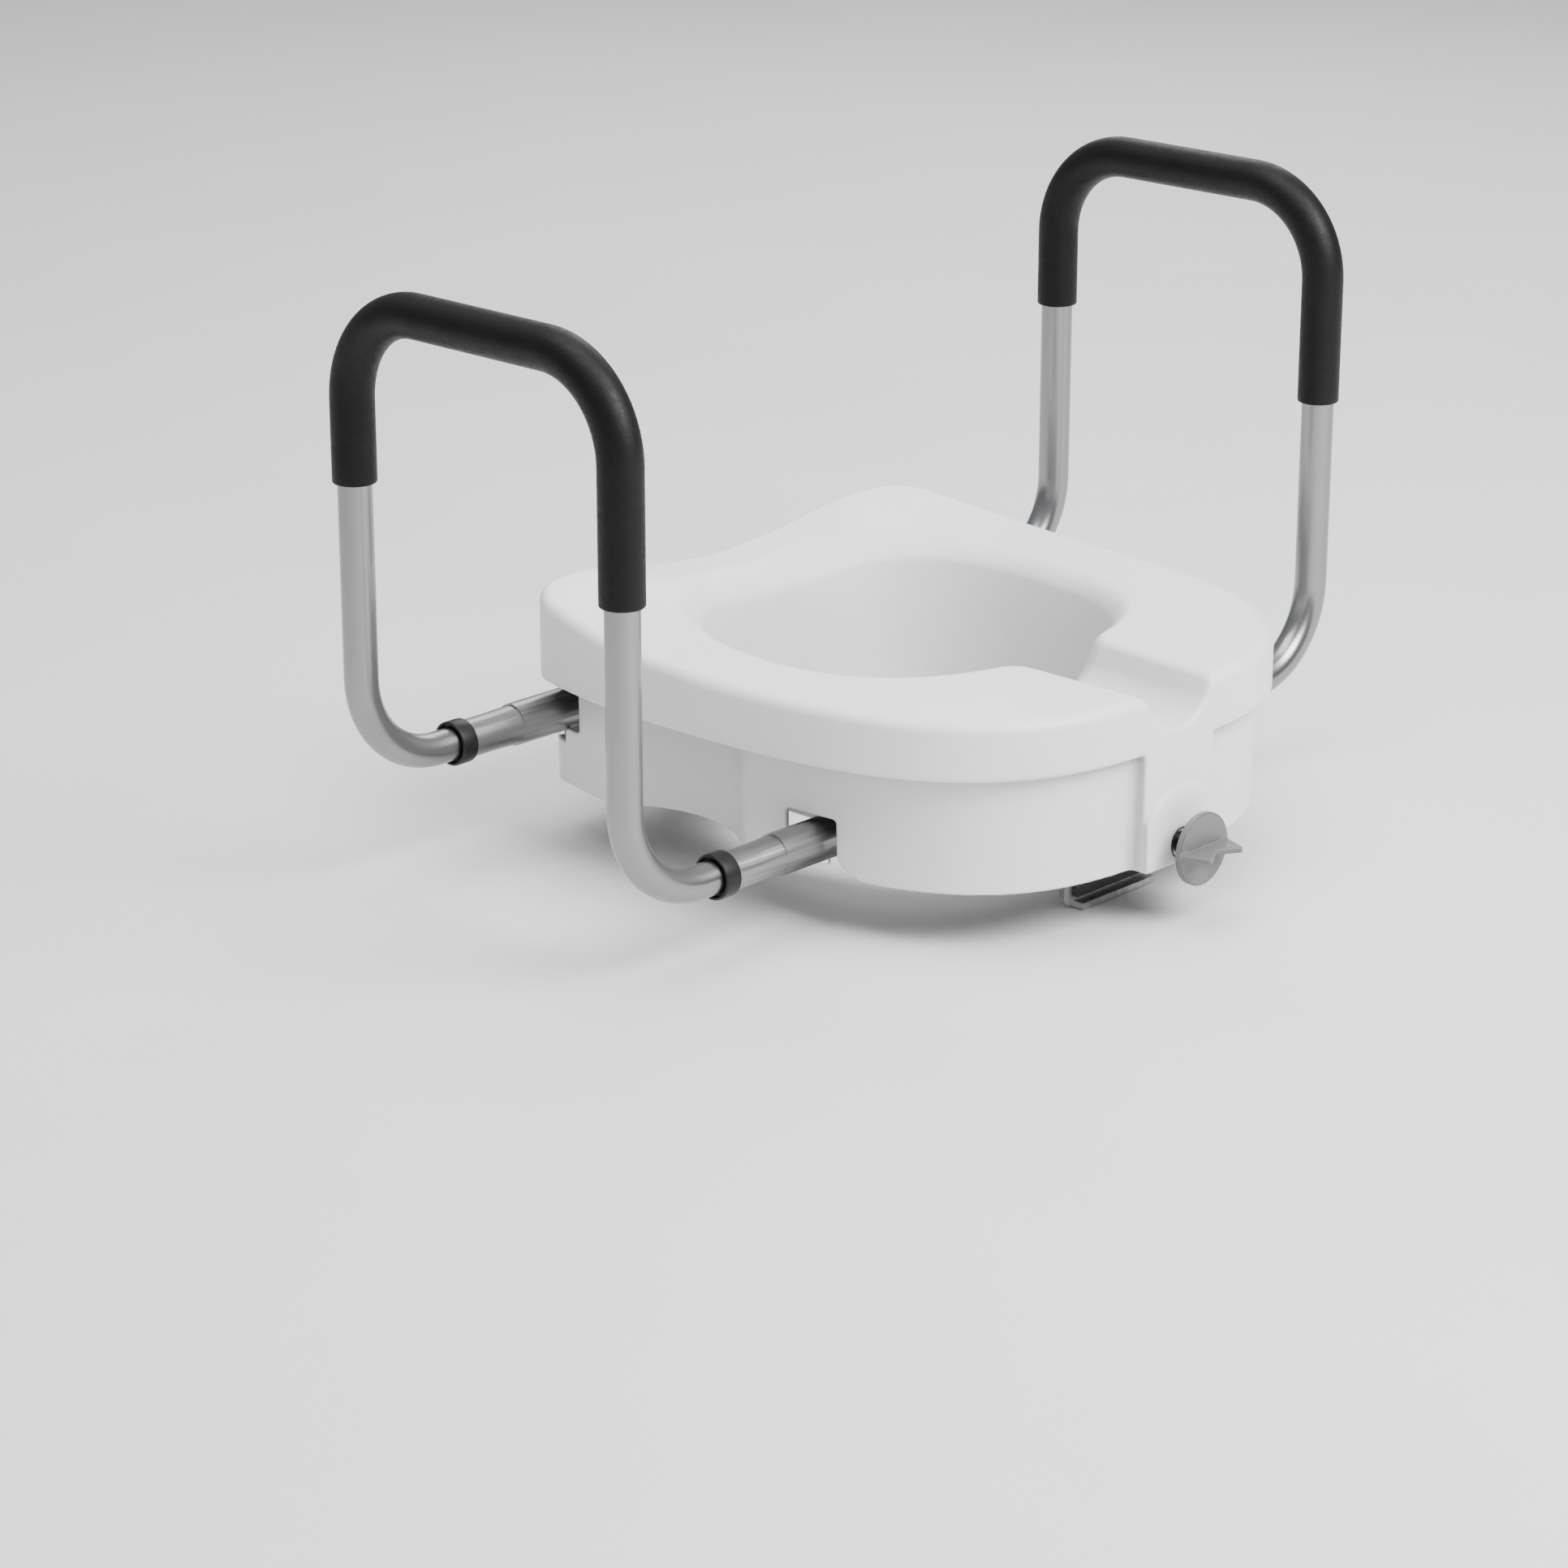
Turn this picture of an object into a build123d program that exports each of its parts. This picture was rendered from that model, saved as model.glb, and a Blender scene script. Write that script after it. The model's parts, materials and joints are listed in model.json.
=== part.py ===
from build123d import *
import math
import os

os.makedirs("parts", exist_ok=True)

# Raised toilet seat with side arms. Millimetres, +Z up, the front (clamp knob) faces -Y, X = 0 is the
# symmetry plane. The origin lies on the plane that rests on the toilet's rim, under the bowl opening.

# ---- driving dimensions -------------------------------------------------------------------------
# moulded seat
SEAT_HALF_WIDTH = 203.0
SEAT_WIDEST_Y = 42.0
SEAT_FRONT_Y = -235.0
SEAT_REAR_Y = 184.0
SEAT_SIDE_RADIUS = 411.0
REAR_CORNER_Y = 169.0
REAR_CORNER_RADIUS = 24.0
OUTLINE_POWER = 2.9
BAND_BOTTOM = 78.0
BLANK_TOP = 150.0
WALL = 3.5
OVERLAP = 1.0
TOOL_MARGIN = 40.0

# skirt under the band, with a scallop in each side
SKIRT_HALF_WIDTH = 176.5
SKIRT_WIDEST_Y = -21.0
SKIRT_FRONT_Y = -226.0
SKIRT_REAR_Y = 171.0
SKIRT_REAR_HALF_WIDTH = 163.0
SKIRT_CORNER_RADIUS = 14.0
SCALLOP_REAR_Y = 100.0
SCALLOP_DEPTH = 24.5

# bowl opening: a funnel, given at the blank's top and just under the rim plane
BOWL_CENTRE_Y = -2.0
BOWL_POWER = 2.3
BOWL_BOTTOM_Z = -2.0
BOWL_TOP = {"half_width": 146.0, "front": -133.0, "rear": 138.0}
BOWL_BOTTOM = {"half_width": 100.0, "front": -118.0, "rear": 80.0}

# access channel through the front of the seat
CHANNEL_HALF_WIDTH = 32.5
CHANNEL_LEVEL = 112.0
CHANNEL_SLOPE = math.radians(60)
CHANNEL_FLOOR = 89.0
CHANNEL_CORNER_RADIUS = 15.0
CHANNEL_INNER_Y = -90.0

# seat's top surface: side view as (y, z), rear view of the dip behind the bowl as (x, z)
TOP_SIDE_VIEW = [(-260, 115.5), (-110, 117.8), (0, 119.0), (90, 125.0), (150, 134.5), (200, 144.0)]
TOP_REAR_VIEW = [(0, 118.5), (60, 124.5), (100, 132.5), (140, 139.0), (215, 150.0)]

# notches in the skirt where the receivers leave the seat
REAR_NOTCH_INNER_X = 150.0
REAR_NOTCH_FRONT_Y = 136.0
REAR_NOTCH_FLOOR = 39.5
POCKET_RADIUS = 17.0
FRONT_NOTCH_INNER_X = 165.0
FRONT_NOTCH_WIDTH = 40.0
FRONT_NOTCH_TOP = 38.0

# ribs and bosses inside the seat
RIB_THICKNESS = 3.0
RIB_BOTTOM = 8.0
SIDE_RIB_YS = [8.0, 72.0]
SIDE_RIB_REACH = 88.0
FRONT_RIB_X = 84.0
FRONT_RIB_REACH = 140.0
REAR_RIB_X = 30.0
REAR_RIB_REACH = 110.0
SADDLE_HALF_WIDTH = 17.0
SADDLE_XS = [121.0, 143.0]
SADDLE_THICKNESS = 4.0
SADDLE_BOSS_RADIUS = 6.0
SEAT_CLEARANCE = 0.1

# front panel, boss and clamp screw
PANEL_HALF_WIDTH = 34.0
PANEL_FRONT_Y = -235.5
PANEL_DEPTH = 22.0
BOSS_RADIUS = 39.0
BOSS_HEIGHT = 2.5
BOSS_CHAMFER = 2.2
BOSS_FACE_Y = PANEL_FRONT_Y - BOSS_HEIGHT
SCREW_Z = 13.0
SCREW_RADIUS = 7.0
SCREW_FRONT_Y = -255.0
SCREW_REAR_Y = -136.0
RUNNING_CLEARANCE = 0.05
WALL_INNER_Y = SKIRT_FRONT_Y + WALL + RUNNING_CLEARANCE
BUSHING_RADIUS = 10.0
BUSHING_FLANGE_RADIUS = 13.0
BUSHING_FLANGE = 3.0
BUSHING_RECESS = 2.5
RING_RADIUS = 9.5
RING_THICKNESS = 1.5

# knob
KNOB_RADIUS = 24.0
KNOB_BACK_Y = -252.0
KNOB_THICKNESS = 4.0
WING_THICKNESS = 3.5
WING_TIP_X = 16.0
WING_TIP_Y = -275.5
WING_NOTCH_Y = -265.0
WING_CORNER_RADIUS = 2.5
KNOB_EDGE_RADIUS = 0.6
WING_SHOULDER_X = KNOB_RADIUS - KNOB_EDGE_RADIUS

# clamp plate, its nut and its pad
PLATE_HALF_WIDTH = 44.0
PLATE_FRONT_Y = -179.0
PLATE_THICKNESS = 4.0
PLATE_BOTTOM = -36.0
PLATE_TOP = 32.0
PLATE_LIP = 9.0
PLATE_CORNER_RADIUS = 8.0
GUIDE_GAP = 0.5
NUT_WIDTH = 22.0
NUT_THICKNESS = 11.0
CLAMP_PAD_HALF_WIDTH = 36.0
CLAMP_PAD_THICKNESS = 3.0
CLAMP_PAD_BOTTOM = -30.0
CLAMP_PAD_TOP = -3.0

# rear stops, one on each side of the bowl's back rim
STOP_X = 64.0
STOP_FACE_Y = 119.0
STOP_THICKNESS = 4.0
STOP_HALF_WIDTH = 20.0
STOP_BOTTOM = -28.0
STOP_FOOT_Y = 88.0
STOP_FOOT_TOP = 4.0
STOP_CORNER_RADIUS = 6.0
STOP_PAD_HALF_WIDTH = 16.0
STOP_PAD_TOP = -4.0
STOP_PAD_THICKNESS = 2.0
STOP_SCREW_HALF_SPACING = 12.0
STOP_SCREW_Y = 101.0
STOP_SCREW_RADIUS = 2.0
STOP_SCREW_TOP = 22.0
STOP_PILLAR_RADIUS = 7.0

# arm tubes, one U on each side; "front" and "rear" are its two legs
ARM_X = 336.8
ARM_MID_Y = 40.0
LEG_HALF_SPACING = 119.2
LEGS = {
    "front": {"y": ARM_MID_Y - LEG_HALF_SPACING, "z": 19.2, "grip_end": 210.1},
    "rear": {"y": ARM_MID_Y + LEG_HALF_SPACING, "z": 50.0, "grip_end": 240.8},
}
SIDES = {"left": -1, "right": 1}
ARM_TOP_Z = 356.4
ARM_BEND_RADIUS = 62.0
ARM_INNER_X = 146.0
ARM_TUBE_RADIUS = 11.1
ARM_TUBE_WALL = 1.4
GRIP_RADIUS = 14.3

# receivers and their end collars
RECEIVER_RADIUS = 12.7
RECEIVER_BORE_RADIUS = 11.2
RECEIVER_ROOT_HEIGHT = 28.6
RECEIVER_INNER_X = 118.0
RECEIVER_ROOT_X = 178.0
RECEIVER_ROUND_X = 228.0
RECEIVER_OUTER_X = 259.0
COLLAR_INNER_X = 251.0
COLLAR_OUTER_X = 264.0
COLLAR_RADIUS = 14.8
COLLAR_WEB = 1.5
COLLAR_MOUTH_RADIUS = 12.9
COLLAR_EDGE_RADIUS = 1.0

# receiver screws
RECEIVER_SCREW_X = 130.0
RECEIVER_SCREW_REACH = 26.0
SHANK_RADIUS = 2.5
HEAD_RADIUS = 5.0
HEAD_HEIGHT = 3.2

# snap buttons under each leg's insert, and their V springs
BUTTON_X = 162.0
BUTTON_RADIUS = 4.4
BUTTON_HOLE_RADIUS = 4.6
BUTTON_TIP_DEPTH = 17.2
BUTTON_DOME_RADIUS = 1.2
BUTTON_ACCESS_RADIUS = 8.0
BUTTON_ACCESS_GAP = 3.0
SPRING_OUTER_X = 194.0
SPRING_INNER_X = 151.0
SPRING_HALF_WIDTH = 3.5
SPRING_THICKNESS = 0.8
SPRING_LEAF_DEPTH = 8.6
SPRING_LEAF_HEIGHT = 8.0


# ---- outlines -----------------------------------------------------------------------------------
def superellipse(half_width, reach, centre_y, power, start, end, count=12):
    """Points of a superellipse arc; angles in degrees, 0 along +X and 90 along +Y."""
    points = []
    for step in range(count + 1):
        angle = math.radians(start + (end - start) * step / count)
        across = abs(math.cos(angle)) ** (2 / power)
        along = abs(math.sin(angle)) ** (2 / power)
        x = math.copysign(half_width * across, math.cos(angle))
        y = centre_y + math.copysign(reach * along, math.sin(angle))
        points.append((x, y))
    return points


def side_x(y):
    """Half width of the seat's side behind its widest point."""
    return SEAT_HALF_WIDTH - (y - SEAT_WIDEST_Y) ** 2 / (2 * SEAT_SIDE_RADIUS)


def seat_outline(plane, inset=0.0):
    """Plan of the seat's upper band; inset moves every side inwards by a wall's thickness."""
    half_width = SEAT_HALF_WIDTH - inset
    reach = SEAT_WIDEST_Y - SEAT_FRONT_Y - inset
    front = superellipse(half_width, reach, SEAT_WIDEST_Y, OUTLINE_POWER, 0, -180)
    corner_y = REAR_CORNER_Y - inset
    ys = (SEAT_WIDEST_Y, (SEAT_WIDEST_Y + corner_y) / 2, corner_y)
    corner_x = side_x(corner_y) - inset
    with BuildSketch(plane) as outline:
        with BuildLine():
            Spline(*front, tangents=[(0, -1), (0, 1)])
            for side in SIDES.values():
                ThreePointArc(*[(side * (side_x(y) - inset), y) for y in ys])
            ThreePointArc((corner_x, corner_y), (0, SEAT_REAR_Y - inset), (-corner_x, corner_y))
        make_face()
        fillet(outline.vertices().group_by(Axis.Y)[-1], REAR_CORNER_RADIUS - inset)
    return outline.sketch


def skirt_outline(plane, inset=0.0):
    """Plan of the skirt, with a concave scallop in each side."""
    half_width = SKIRT_HALF_WIDTH - inset
    rear_half_width = SKIRT_REAR_HALF_WIDTH - inset
    rear_y = SKIRT_REAR_Y - inset
    reach = SKIRT_WIDEST_Y - SKIRT_FRONT_Y - inset
    front = superellipse(half_width, reach, SKIRT_WIDEST_Y, OUTLINE_POWER, 0, -180)
    scallop_x = half_width - SCALLOP_DEPTH
    scallop_y = (SKIRT_WIDEST_Y + SCALLOP_REAR_Y) / 2
    with BuildSketch(plane) as outline:
        with BuildLine():
            Spline(*front, tangents=[(0, -1), (0, 1)])
            for side in SIDES.values():
                ThreePointArc(
                    (side * half_width, SKIRT_WIDEST_Y),
                    (side * scallop_x, scallop_y),
                    (side * half_width, SCALLOP_REAR_Y),
                )
                Line((side * half_width, SCALLOP_REAR_Y), (side * rear_half_width, rear_y))
            Line((rear_half_width, rear_y), (-rear_half_width, rear_y))
        make_face()
        fillet(outline.vertices().group_by(Axis.Y)[-1], SKIRT_CORNER_RADIUS - inset)
    return outline.sketch


def bowl_outline(plane, level, grow):
    """Egg-shaped plan of the bowl opening: one superellipse in front, another behind."""
    half_width = level["half_width"] + grow
    front_reach = BOWL_CENTRE_Y - level["front"] + grow
    rear_reach = level["rear"] - BOWL_CENTRE_Y + grow
    with BuildSketch(plane) as outline:
        with BuildLine():
            front = superellipse(half_width, front_reach, BOWL_CENTRE_Y, BOWL_POWER, 0, -180)
            rear = superellipse(half_width, rear_reach, BOWL_CENTRE_Y, BOWL_POWER, 0, 180)
            Spline(*front, tangents=[(0, -1), (0, 1)])
            Spline(*rear, tangents=[(0, 1), (0, -1)])
        make_face()
    return outline.sketch


# ---- tool solids for the seat -------------------------------------------------------------------
def up_to_sky(plane, profile):
    """Sketch of everything above a curve on an upright plane."""
    sky = 2 * BLANK_TOP
    with BuildSketch(plane) as area:
        with BuildLine():
            Spline(*profile)
            Polyline(profile[-1], (profile[-1][0], sky), (profile[0][0], sky), profile[0])
        make_face()
    return area.sketch


def above_top(drop):
    """Everything above the seat's top surface, or above a surface a wall's thickness below it."""
    side_view = [(y, z - drop) for y, z in TOP_SIDE_VIEW]
    right_view = [(x, z - drop) for x, z in TOP_REAR_VIEW]
    rear_view = [(-x, z) for x, z in reversed(right_view[1:])] + right_view
    with BuildPart() as cut:
        extrude(to_extrude=up_to_sky(Plane.YZ, side_view), amount=2 * SEAT_HALF_WIDTH, both=True)
        extrude(to_extrude=up_to_sky(Plane.XZ, rear_view), amount=-SEAT_REAR_Y - TOOL_MARGIN)
    return cut.part


def bowl_void(grow):
    """The funnel through the seat; grow adds a wall's thickness to it."""
    with BuildPart() as void:
        low = bowl_outline(Plane.XY.offset(BOWL_BOTTOM_Z), BOWL_BOTTOM, grow)
        high = bowl_outline(Plane.XY.offset(BLANK_TOP), BOWL_TOP, grow)
        loft(sections=[low.face(), high.face()])
    return void.part


def channel_void(grow):
    """The access channel through the front of the seat into the bowl: a U with sloping sides."""
    floor = CHANNEL_FLOOR - grow
    half_widths = []
    for level in (floor, BLANK_TOP):
        spread = (level - CHANNEL_LEVEL) / math.tan(CHANNEL_SLOPE) + grow / math.sin(CHANNEL_SLOPE)
        half_widths.append(CHANNEL_HALF_WIDTH + spread)
    low, high = half_widths
    with BuildPart() as void:
        with BuildSketch(Plane.XZ.offset(-CHANNEL_INNER_Y)) as section:
            with BuildLine():
                Polyline((-low, floor), (low, floor), (high, BLANK_TOP), (-high, BLANK_TOP), close=True)
            make_face()
            fillet(section.vertices().group_by(Axis.Y)[0], CHANNEL_CORNER_RADIUS)
        extrude(amount=CHANNEL_INNER_Y - SEAT_FRONT_Y + TOOL_MARGIN)
    return void.part


def receiver_notches():
    """Rectangular notches in the skirt where the four receivers leave the seat."""
    rear_height = BAND_BOTTOM - REAR_NOTCH_FLOOR
    front_y = LEGS["front"]["y"]
    with BuildPart() as notches:
        for side in SIDES.values():
            rear_x = side * (REAR_NOTCH_INNER_X + TOOL_MARGIN / 2)
            with Locations((rear_x, REAR_NOTCH_FRONT_Y, REAR_NOTCH_FLOOR)):
                Box(TOOL_MARGIN, TOOL_MARGIN, rear_height, align=(Align.CENTER, Align.MIN, Align.MIN))
            front_x = side * (FRONT_NOTCH_INNER_X + TOOL_MARGIN / 2)
            with Locations((front_x, front_y, FRONT_NOTCH_TOP)):
                height = 2 * FRONT_NOTCH_TOP
                Box(TOOL_MARGIN, FRONT_NOTCH_WIDTH, height, align=(Align.CENTER, Align.CENTER, Align.MAX))
    return notches.part


def receiver_blank(side, leg, grow):
    """Outside of a receiver: round where the collar fits, swaged taller where the seat holds it."""
    height = RECEIVER_ROOT_HEIGHT + 2 * grow
    width = 2 * (RECEIVER_RADIUS + grow)
    outward = Plane(origin=(0, leg["y"], leg["z"]), x_dir=(0, 1, 0), z_dir=(side, 0, 0))
    with BuildPart() as blank:
        with BuildSketch(outward.offset(RECEIVER_INNER_X)):
            SlotOverall(height, width, rotation=90)
        extrude(amount=RECEIVER_ROOT_X - RECEIVER_INNER_X)
        with BuildSketch(outward.offset(RECEIVER_ROOT_X)) as root:
            SlotOverall(height, width, rotation=90)
        with BuildSketch(outward.offset(RECEIVER_ROUND_X)) as throat:
            Circle(RECEIVER_RADIUS + grow)
        loft(sections=[root.sketch.face(), throat.sketch.face()])
        with BuildSketch(outward.offset(RECEIVER_ROUND_X)):
            Circle(RECEIVER_RADIUS + grow)
        extrude(amount=RECEIVER_OUTER_X - RECEIVER_ROUND_X)
    return blank.part


def upright_pin(x, y, low, high, radius):
    """A plain upright cylinder, for screw shanks and for their holes."""
    with BuildPart() as pin:
        with BuildSketch(Plane.XY.offset(low)):
            with Locations((x, y)):
                Circle(radius)
        extrude(amount=high - low)
    return pin.part


def pan_head_screw(x, y, seat_z, tip_z, shank_radius, head_radius, head_height):
    """A pan head screw driven upwards: its head sits under seat_z and its tip is at tip_z."""
    with BuildPart() as screw:
        with BuildSketch(Plane.XY.offset(seat_z - head_height)):
            with Locations((x, y)):
                Circle(head_radius)
        extrude(amount=head_height)
        fillet(screw.faces().sort_by(Axis.Z)[0].edges(), head_height / 3)
        with BuildSketch(Plane.XY.offset(seat_z)):
            with Locations((x, y)):
                Circle(shank_radius)
        extrude(amount=tip_z - seat_z)
        slot_length = head_radius * 1.3
        slot_width = shank_radius * 0.5
        with Locations((x, y, seat_z - head_height)):
            Box(slot_length, slot_width, head_height, mode=Mode.SUBTRACT)
            Box(slot_width, slot_length, head_height, mode=Mode.SUBTRACT)
    return screw.part


STOP_SCREW_XS = [
    side * STOP_X + half * STOP_SCREW_HALF_SPACING for side in SIDES.values() for half in (-1, 1)
]


# ---- seat shell ---------------------------------------------------------------------------------
with BuildPart() as band_blank:
    extrude(to_extrude=seat_outline(Plane.XY.offset(BAND_BOTTOM)), amount=BLANK_TOP - BAND_BOTTOM)
    add(above_top(0), mode=Mode.SUBTRACT)

with BuildPart() as skirt_blank:
    extrude(to_extrude=skirt_outline(Plane.XY), amount=BAND_BOTTOM + WALL)
    with BuildSketch(Plane.XY):
        with Locations((0, PANEL_FRONT_Y)):
            Rectangle(2 * PANEL_HALF_WIDTH, PANEL_DEPTH, align=(Align.CENTER, Align.MIN))
    extrude(amount=BAND_BOTTOM + WALL)
    # round pockets in the rear wall, over the rear receivers
    pocket_inner_x = RECEIVER_INNER_X - WALL
    pocket_outer_x = REAR_NOTCH_INNER_X + OVERLAP
    for side in SIDES.values():
        pocket_x = side * (pocket_inner_x + pocket_outer_x) / 2
        with Locations((pocket_x, LEGS["rear"]["y"], LEGS["rear"]["z"])):
            Cylinder(POCKET_RADIUS, pocket_outer_x - pocket_inner_x, rotation=(0, 90, 0))

with BuildPart() as boss:
    with BuildSketch(Plane.XZ.offset(-PANEL_FRONT_Y - WALL)):
        with Locations((0, SCREW_Z)):
            Circle(BOSS_RADIUS)
        Rectangle(
            2 * PANEL_HALF_WIDTH, 2 * BOSS_RADIUS, align=(Align.CENTER, Align.MIN), mode=Mode.INTERSECT
        )
    extrude(amount=BOSS_HEIGHT + WALL)
    chamfer(boss.faces().sort_by(Axis.Y)[0].edges().filter_by(GeomType.CIRCLE), BOSS_CHAMFER)

# ribs and bosses, as plain blocks that run up into the seat's ceiling and out through its walls
with BuildPart() as rib_blocks:
    guide_x = PLATE_HALF_WIDTH + GUIDE_GAP + RIB_THICKNESS / 2
    low_centre = (Align.CENTER, Align.CENTER, Align.MIN)
    for side in SIDES.values():
        for rib_y in SIDE_RIB_YS:
            with Locations((side * SKIRT_HALF_WIDTH, rib_y, RIB_BOTTOM)):
                Box(2 * SIDE_RIB_REACH, RIB_THICKNESS, BLANK_TOP, align=low_centre)
        for rib_x in (guide_x, FRONT_RIB_X):
            with Locations((side * rib_x, SKIRT_FRONT_Y, RIB_BOTTOM)):
                Box(RIB_THICKNESS, 2 * FRONT_RIB_REACH, BLANK_TOP, align=low_centre)
        with Locations((side * REAR_RIB_X, SKIRT_REAR_Y, RIB_BOTTOM)):
            Box(RIB_THICKNESS, 2 * REAR_RIB_REACH, BLANK_TOP, align=low_centre)
        for leg in LEGS.values():
            for saddle_x in SADDLE_XS:
                with Locations((side * saddle_x, leg["y"], leg["z"])):
                    Box(SADDLE_THICKNESS, 2 * SADDLE_HALF_WIDTH, BLANK_TOP, align=low_centre)
            with Locations((side * RECEIVER_SCREW_X, leg["y"], leg["z"])):
                Cylinder(SADDLE_BOSS_RADIUS, BLANK_TOP, align=low_centre)
    for screw_x in STOP_SCREW_XS:
        with Locations((screw_x, STOP_SCREW_Y, STOP_FOOT_TOP)):
            Cylinder(STOP_PILLAR_RADIUS, BLANK_TOP, align=low_centre)

with BuildPart() as hollow:
    band_hollow = seat_outline(Plane.XY.offset(BAND_BOTTOM + WALL), WALL)
    extrude(to_extrude=band_hollow, amount=BLANK_TOP - BAND_BOTTOM)
    add(above_top(WALL), mode=Mode.SUBTRACT)
    height = BAND_BOTTOM + WALL + 2 * OVERLAP
    extrude(to_extrude=skirt_outline(Plane.XY.offset(-OVERLAP), WALL), amount=height)
    add(bowl_void(WALL), mode=Mode.SUBTRACT)
    add(channel_void(WALL), mode=Mode.SUBTRACT)
    add(rib_blocks.part, mode=Mode.SUBTRACT)

with BuildPart() as seat_shell:
    add(band_blank.part)
    add(skirt_blank.part)
    add(boss.part)
    add(bowl_void(0), mode=Mode.SUBTRACT)
    add(channel_void(0), mode=Mode.SUBTRACT)
    add(receiver_notches(), mode=Mode.SUBTRACT)
    add(hollow.part, mode=Mode.SUBTRACT)
    for side in SIDES.values():
        for leg in LEGS.values():
            add(receiver_blank(side, leg, SEAT_CLEARANCE), mode=Mode.SUBTRACT)
            screw_top = leg["z"] + RECEIVER_SCREW_REACH
            pilot_radius = SHANK_RADIUS + RUNNING_CLEARANCE
            pilot = upright_pin(side * RECEIVER_SCREW_X, leg["y"], leg["z"], screw_top, pilot_radius)
            add(pilot, mode=Mode.SUBTRACT)
            access_floor = leg["z"] - BUTTON_TIP_DEPTH - BUTTON_ACCESS_GAP
            access = upright_pin(side * BUTTON_X, leg["y"], access_floor, leg["z"], BUTTON_ACCESS_RADIUS)
            add(access, mode=Mode.SUBTRACT)
    for screw_x in STOP_SCREW_XS:
        pilot_radius = STOP_SCREW_RADIUS + RUNNING_CLEARANCE
        pilot = upright_pin(screw_x, STOP_SCREW_Y, STOP_FOOT_TOP, STOP_SCREW_TOP, pilot_radius)
        add(pilot, mode=Mode.SUBTRACT)
    with BuildSketch(Plane.XZ.offset(-SKIRT_FRONT_Y - PANEL_DEPTH)):
        with Locations((0, SCREW_Z)):
            Circle(BUSHING_RADIUS)
    extrude(amount=2 * PANEL_DEPTH, mode=Mode.SUBTRACT)


# ---- arms, grips, receivers and collars ---------------------------------------------------------
def tube_along(points, outer, inner):
    """A round tube bent along the points, with one bend radius at every corner."""
    with BuildPart() as tube:
        with BuildLine() as path:
            FilletPolyline(*points, radius=ARM_BEND_RADIUS)
        with BuildSketch(Plane(origin=path.line @ 0, z_dir=path.line % 0)):
            Circle(outer)
            Circle(inner, mode=Mode.SUBTRACT)
        sweep()
    return tube.part


def arm_path(side):
    """Centre line of an arm tube, from the front leg's inner end over the top to the rear leg's."""
    x, front, rear = side * ARM_X, LEGS["front"], LEGS["rear"]
    return [
        (side * ARM_INNER_X, front["y"], front["z"]),
        (x, front["y"], front["z"]),
        (x, front["y"], ARM_TOP_Z),
        (x, rear["y"], ARM_TOP_Z),
        (x, rear["y"], rear["z"]),
        (side * ARM_INNER_X, rear["y"], rear["z"]),
    ]


def make_arm_tube(side):
    """U-shaped aluminium tube with a button hole in the underside of each insert."""
    with BuildPart() as arm:
        add(tube_along(arm_path(side), ARM_TUBE_RADIUS, ARM_TUBE_RADIUS - ARM_TUBE_WALL))
        for leg in LEGS.values():
            low = leg["z"] - 2 * ARM_TUBE_RADIUS
            hole = upright_pin(side * BUTTON_X, leg["y"], low, leg["z"], BUTTON_HOLE_RADIUS)
            add(hole, mode=Mode.SUBTRACT)
    return arm.part


def make_grip(side):
    """Foam sleeve over the top of an arm and part of the way down both legs."""
    x, front, rear = side * ARM_X, LEGS["front"], LEGS["rear"]
    path = [
        (x, front["y"], front["grip_end"]),
        (x, front["y"], ARM_TOP_Z),
        (x, rear["y"], ARM_TOP_Z),
        (x, rear["y"], rear["grip_end"]),
    ]
    return tube_along(path, GRIP_RADIUS, ARM_TUBE_RADIUS + RUNNING_CLEARANCE)


def make_receiver(side, leg):
    """Fixed aluminium socket that an arm's leg slides into, held to the seat by one screw."""
    outward = Plane(origin=(0, leg["y"], leg["z"]), x_dir=(0, 1, 0), z_dir=(side, 0, 0))
    low = leg["z"] - RECEIVER_ROOT_HEIGHT
    high = leg["z"] + RECEIVER_ROOT_HEIGHT
    with BuildPart() as receiver:
        add(receiver_blank(side, leg, 0))
        with BuildSketch(outward.offset(RECEIVER_INNER_X)):
            Circle(RECEIVER_BORE_RADIUS)
        extrude(amount=RECEIVER_OUTER_X - RECEIVER_INNER_X, mode=Mode.SUBTRACT)
        button_hole = upright_pin(side * BUTTON_X, leg["y"], low, leg["z"], BUTTON_HOLE_RADIUS)
        add(button_hole, mode=Mode.SUBTRACT)
        screw_hole = upright_pin(
            side * RECEIVER_SCREW_X, leg["y"], low, high, SHANK_RADIUS + RUNNING_CLEARANCE
        )
        add(screw_hole, mode=Mode.SUBTRACT)
    return receiver.part


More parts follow.
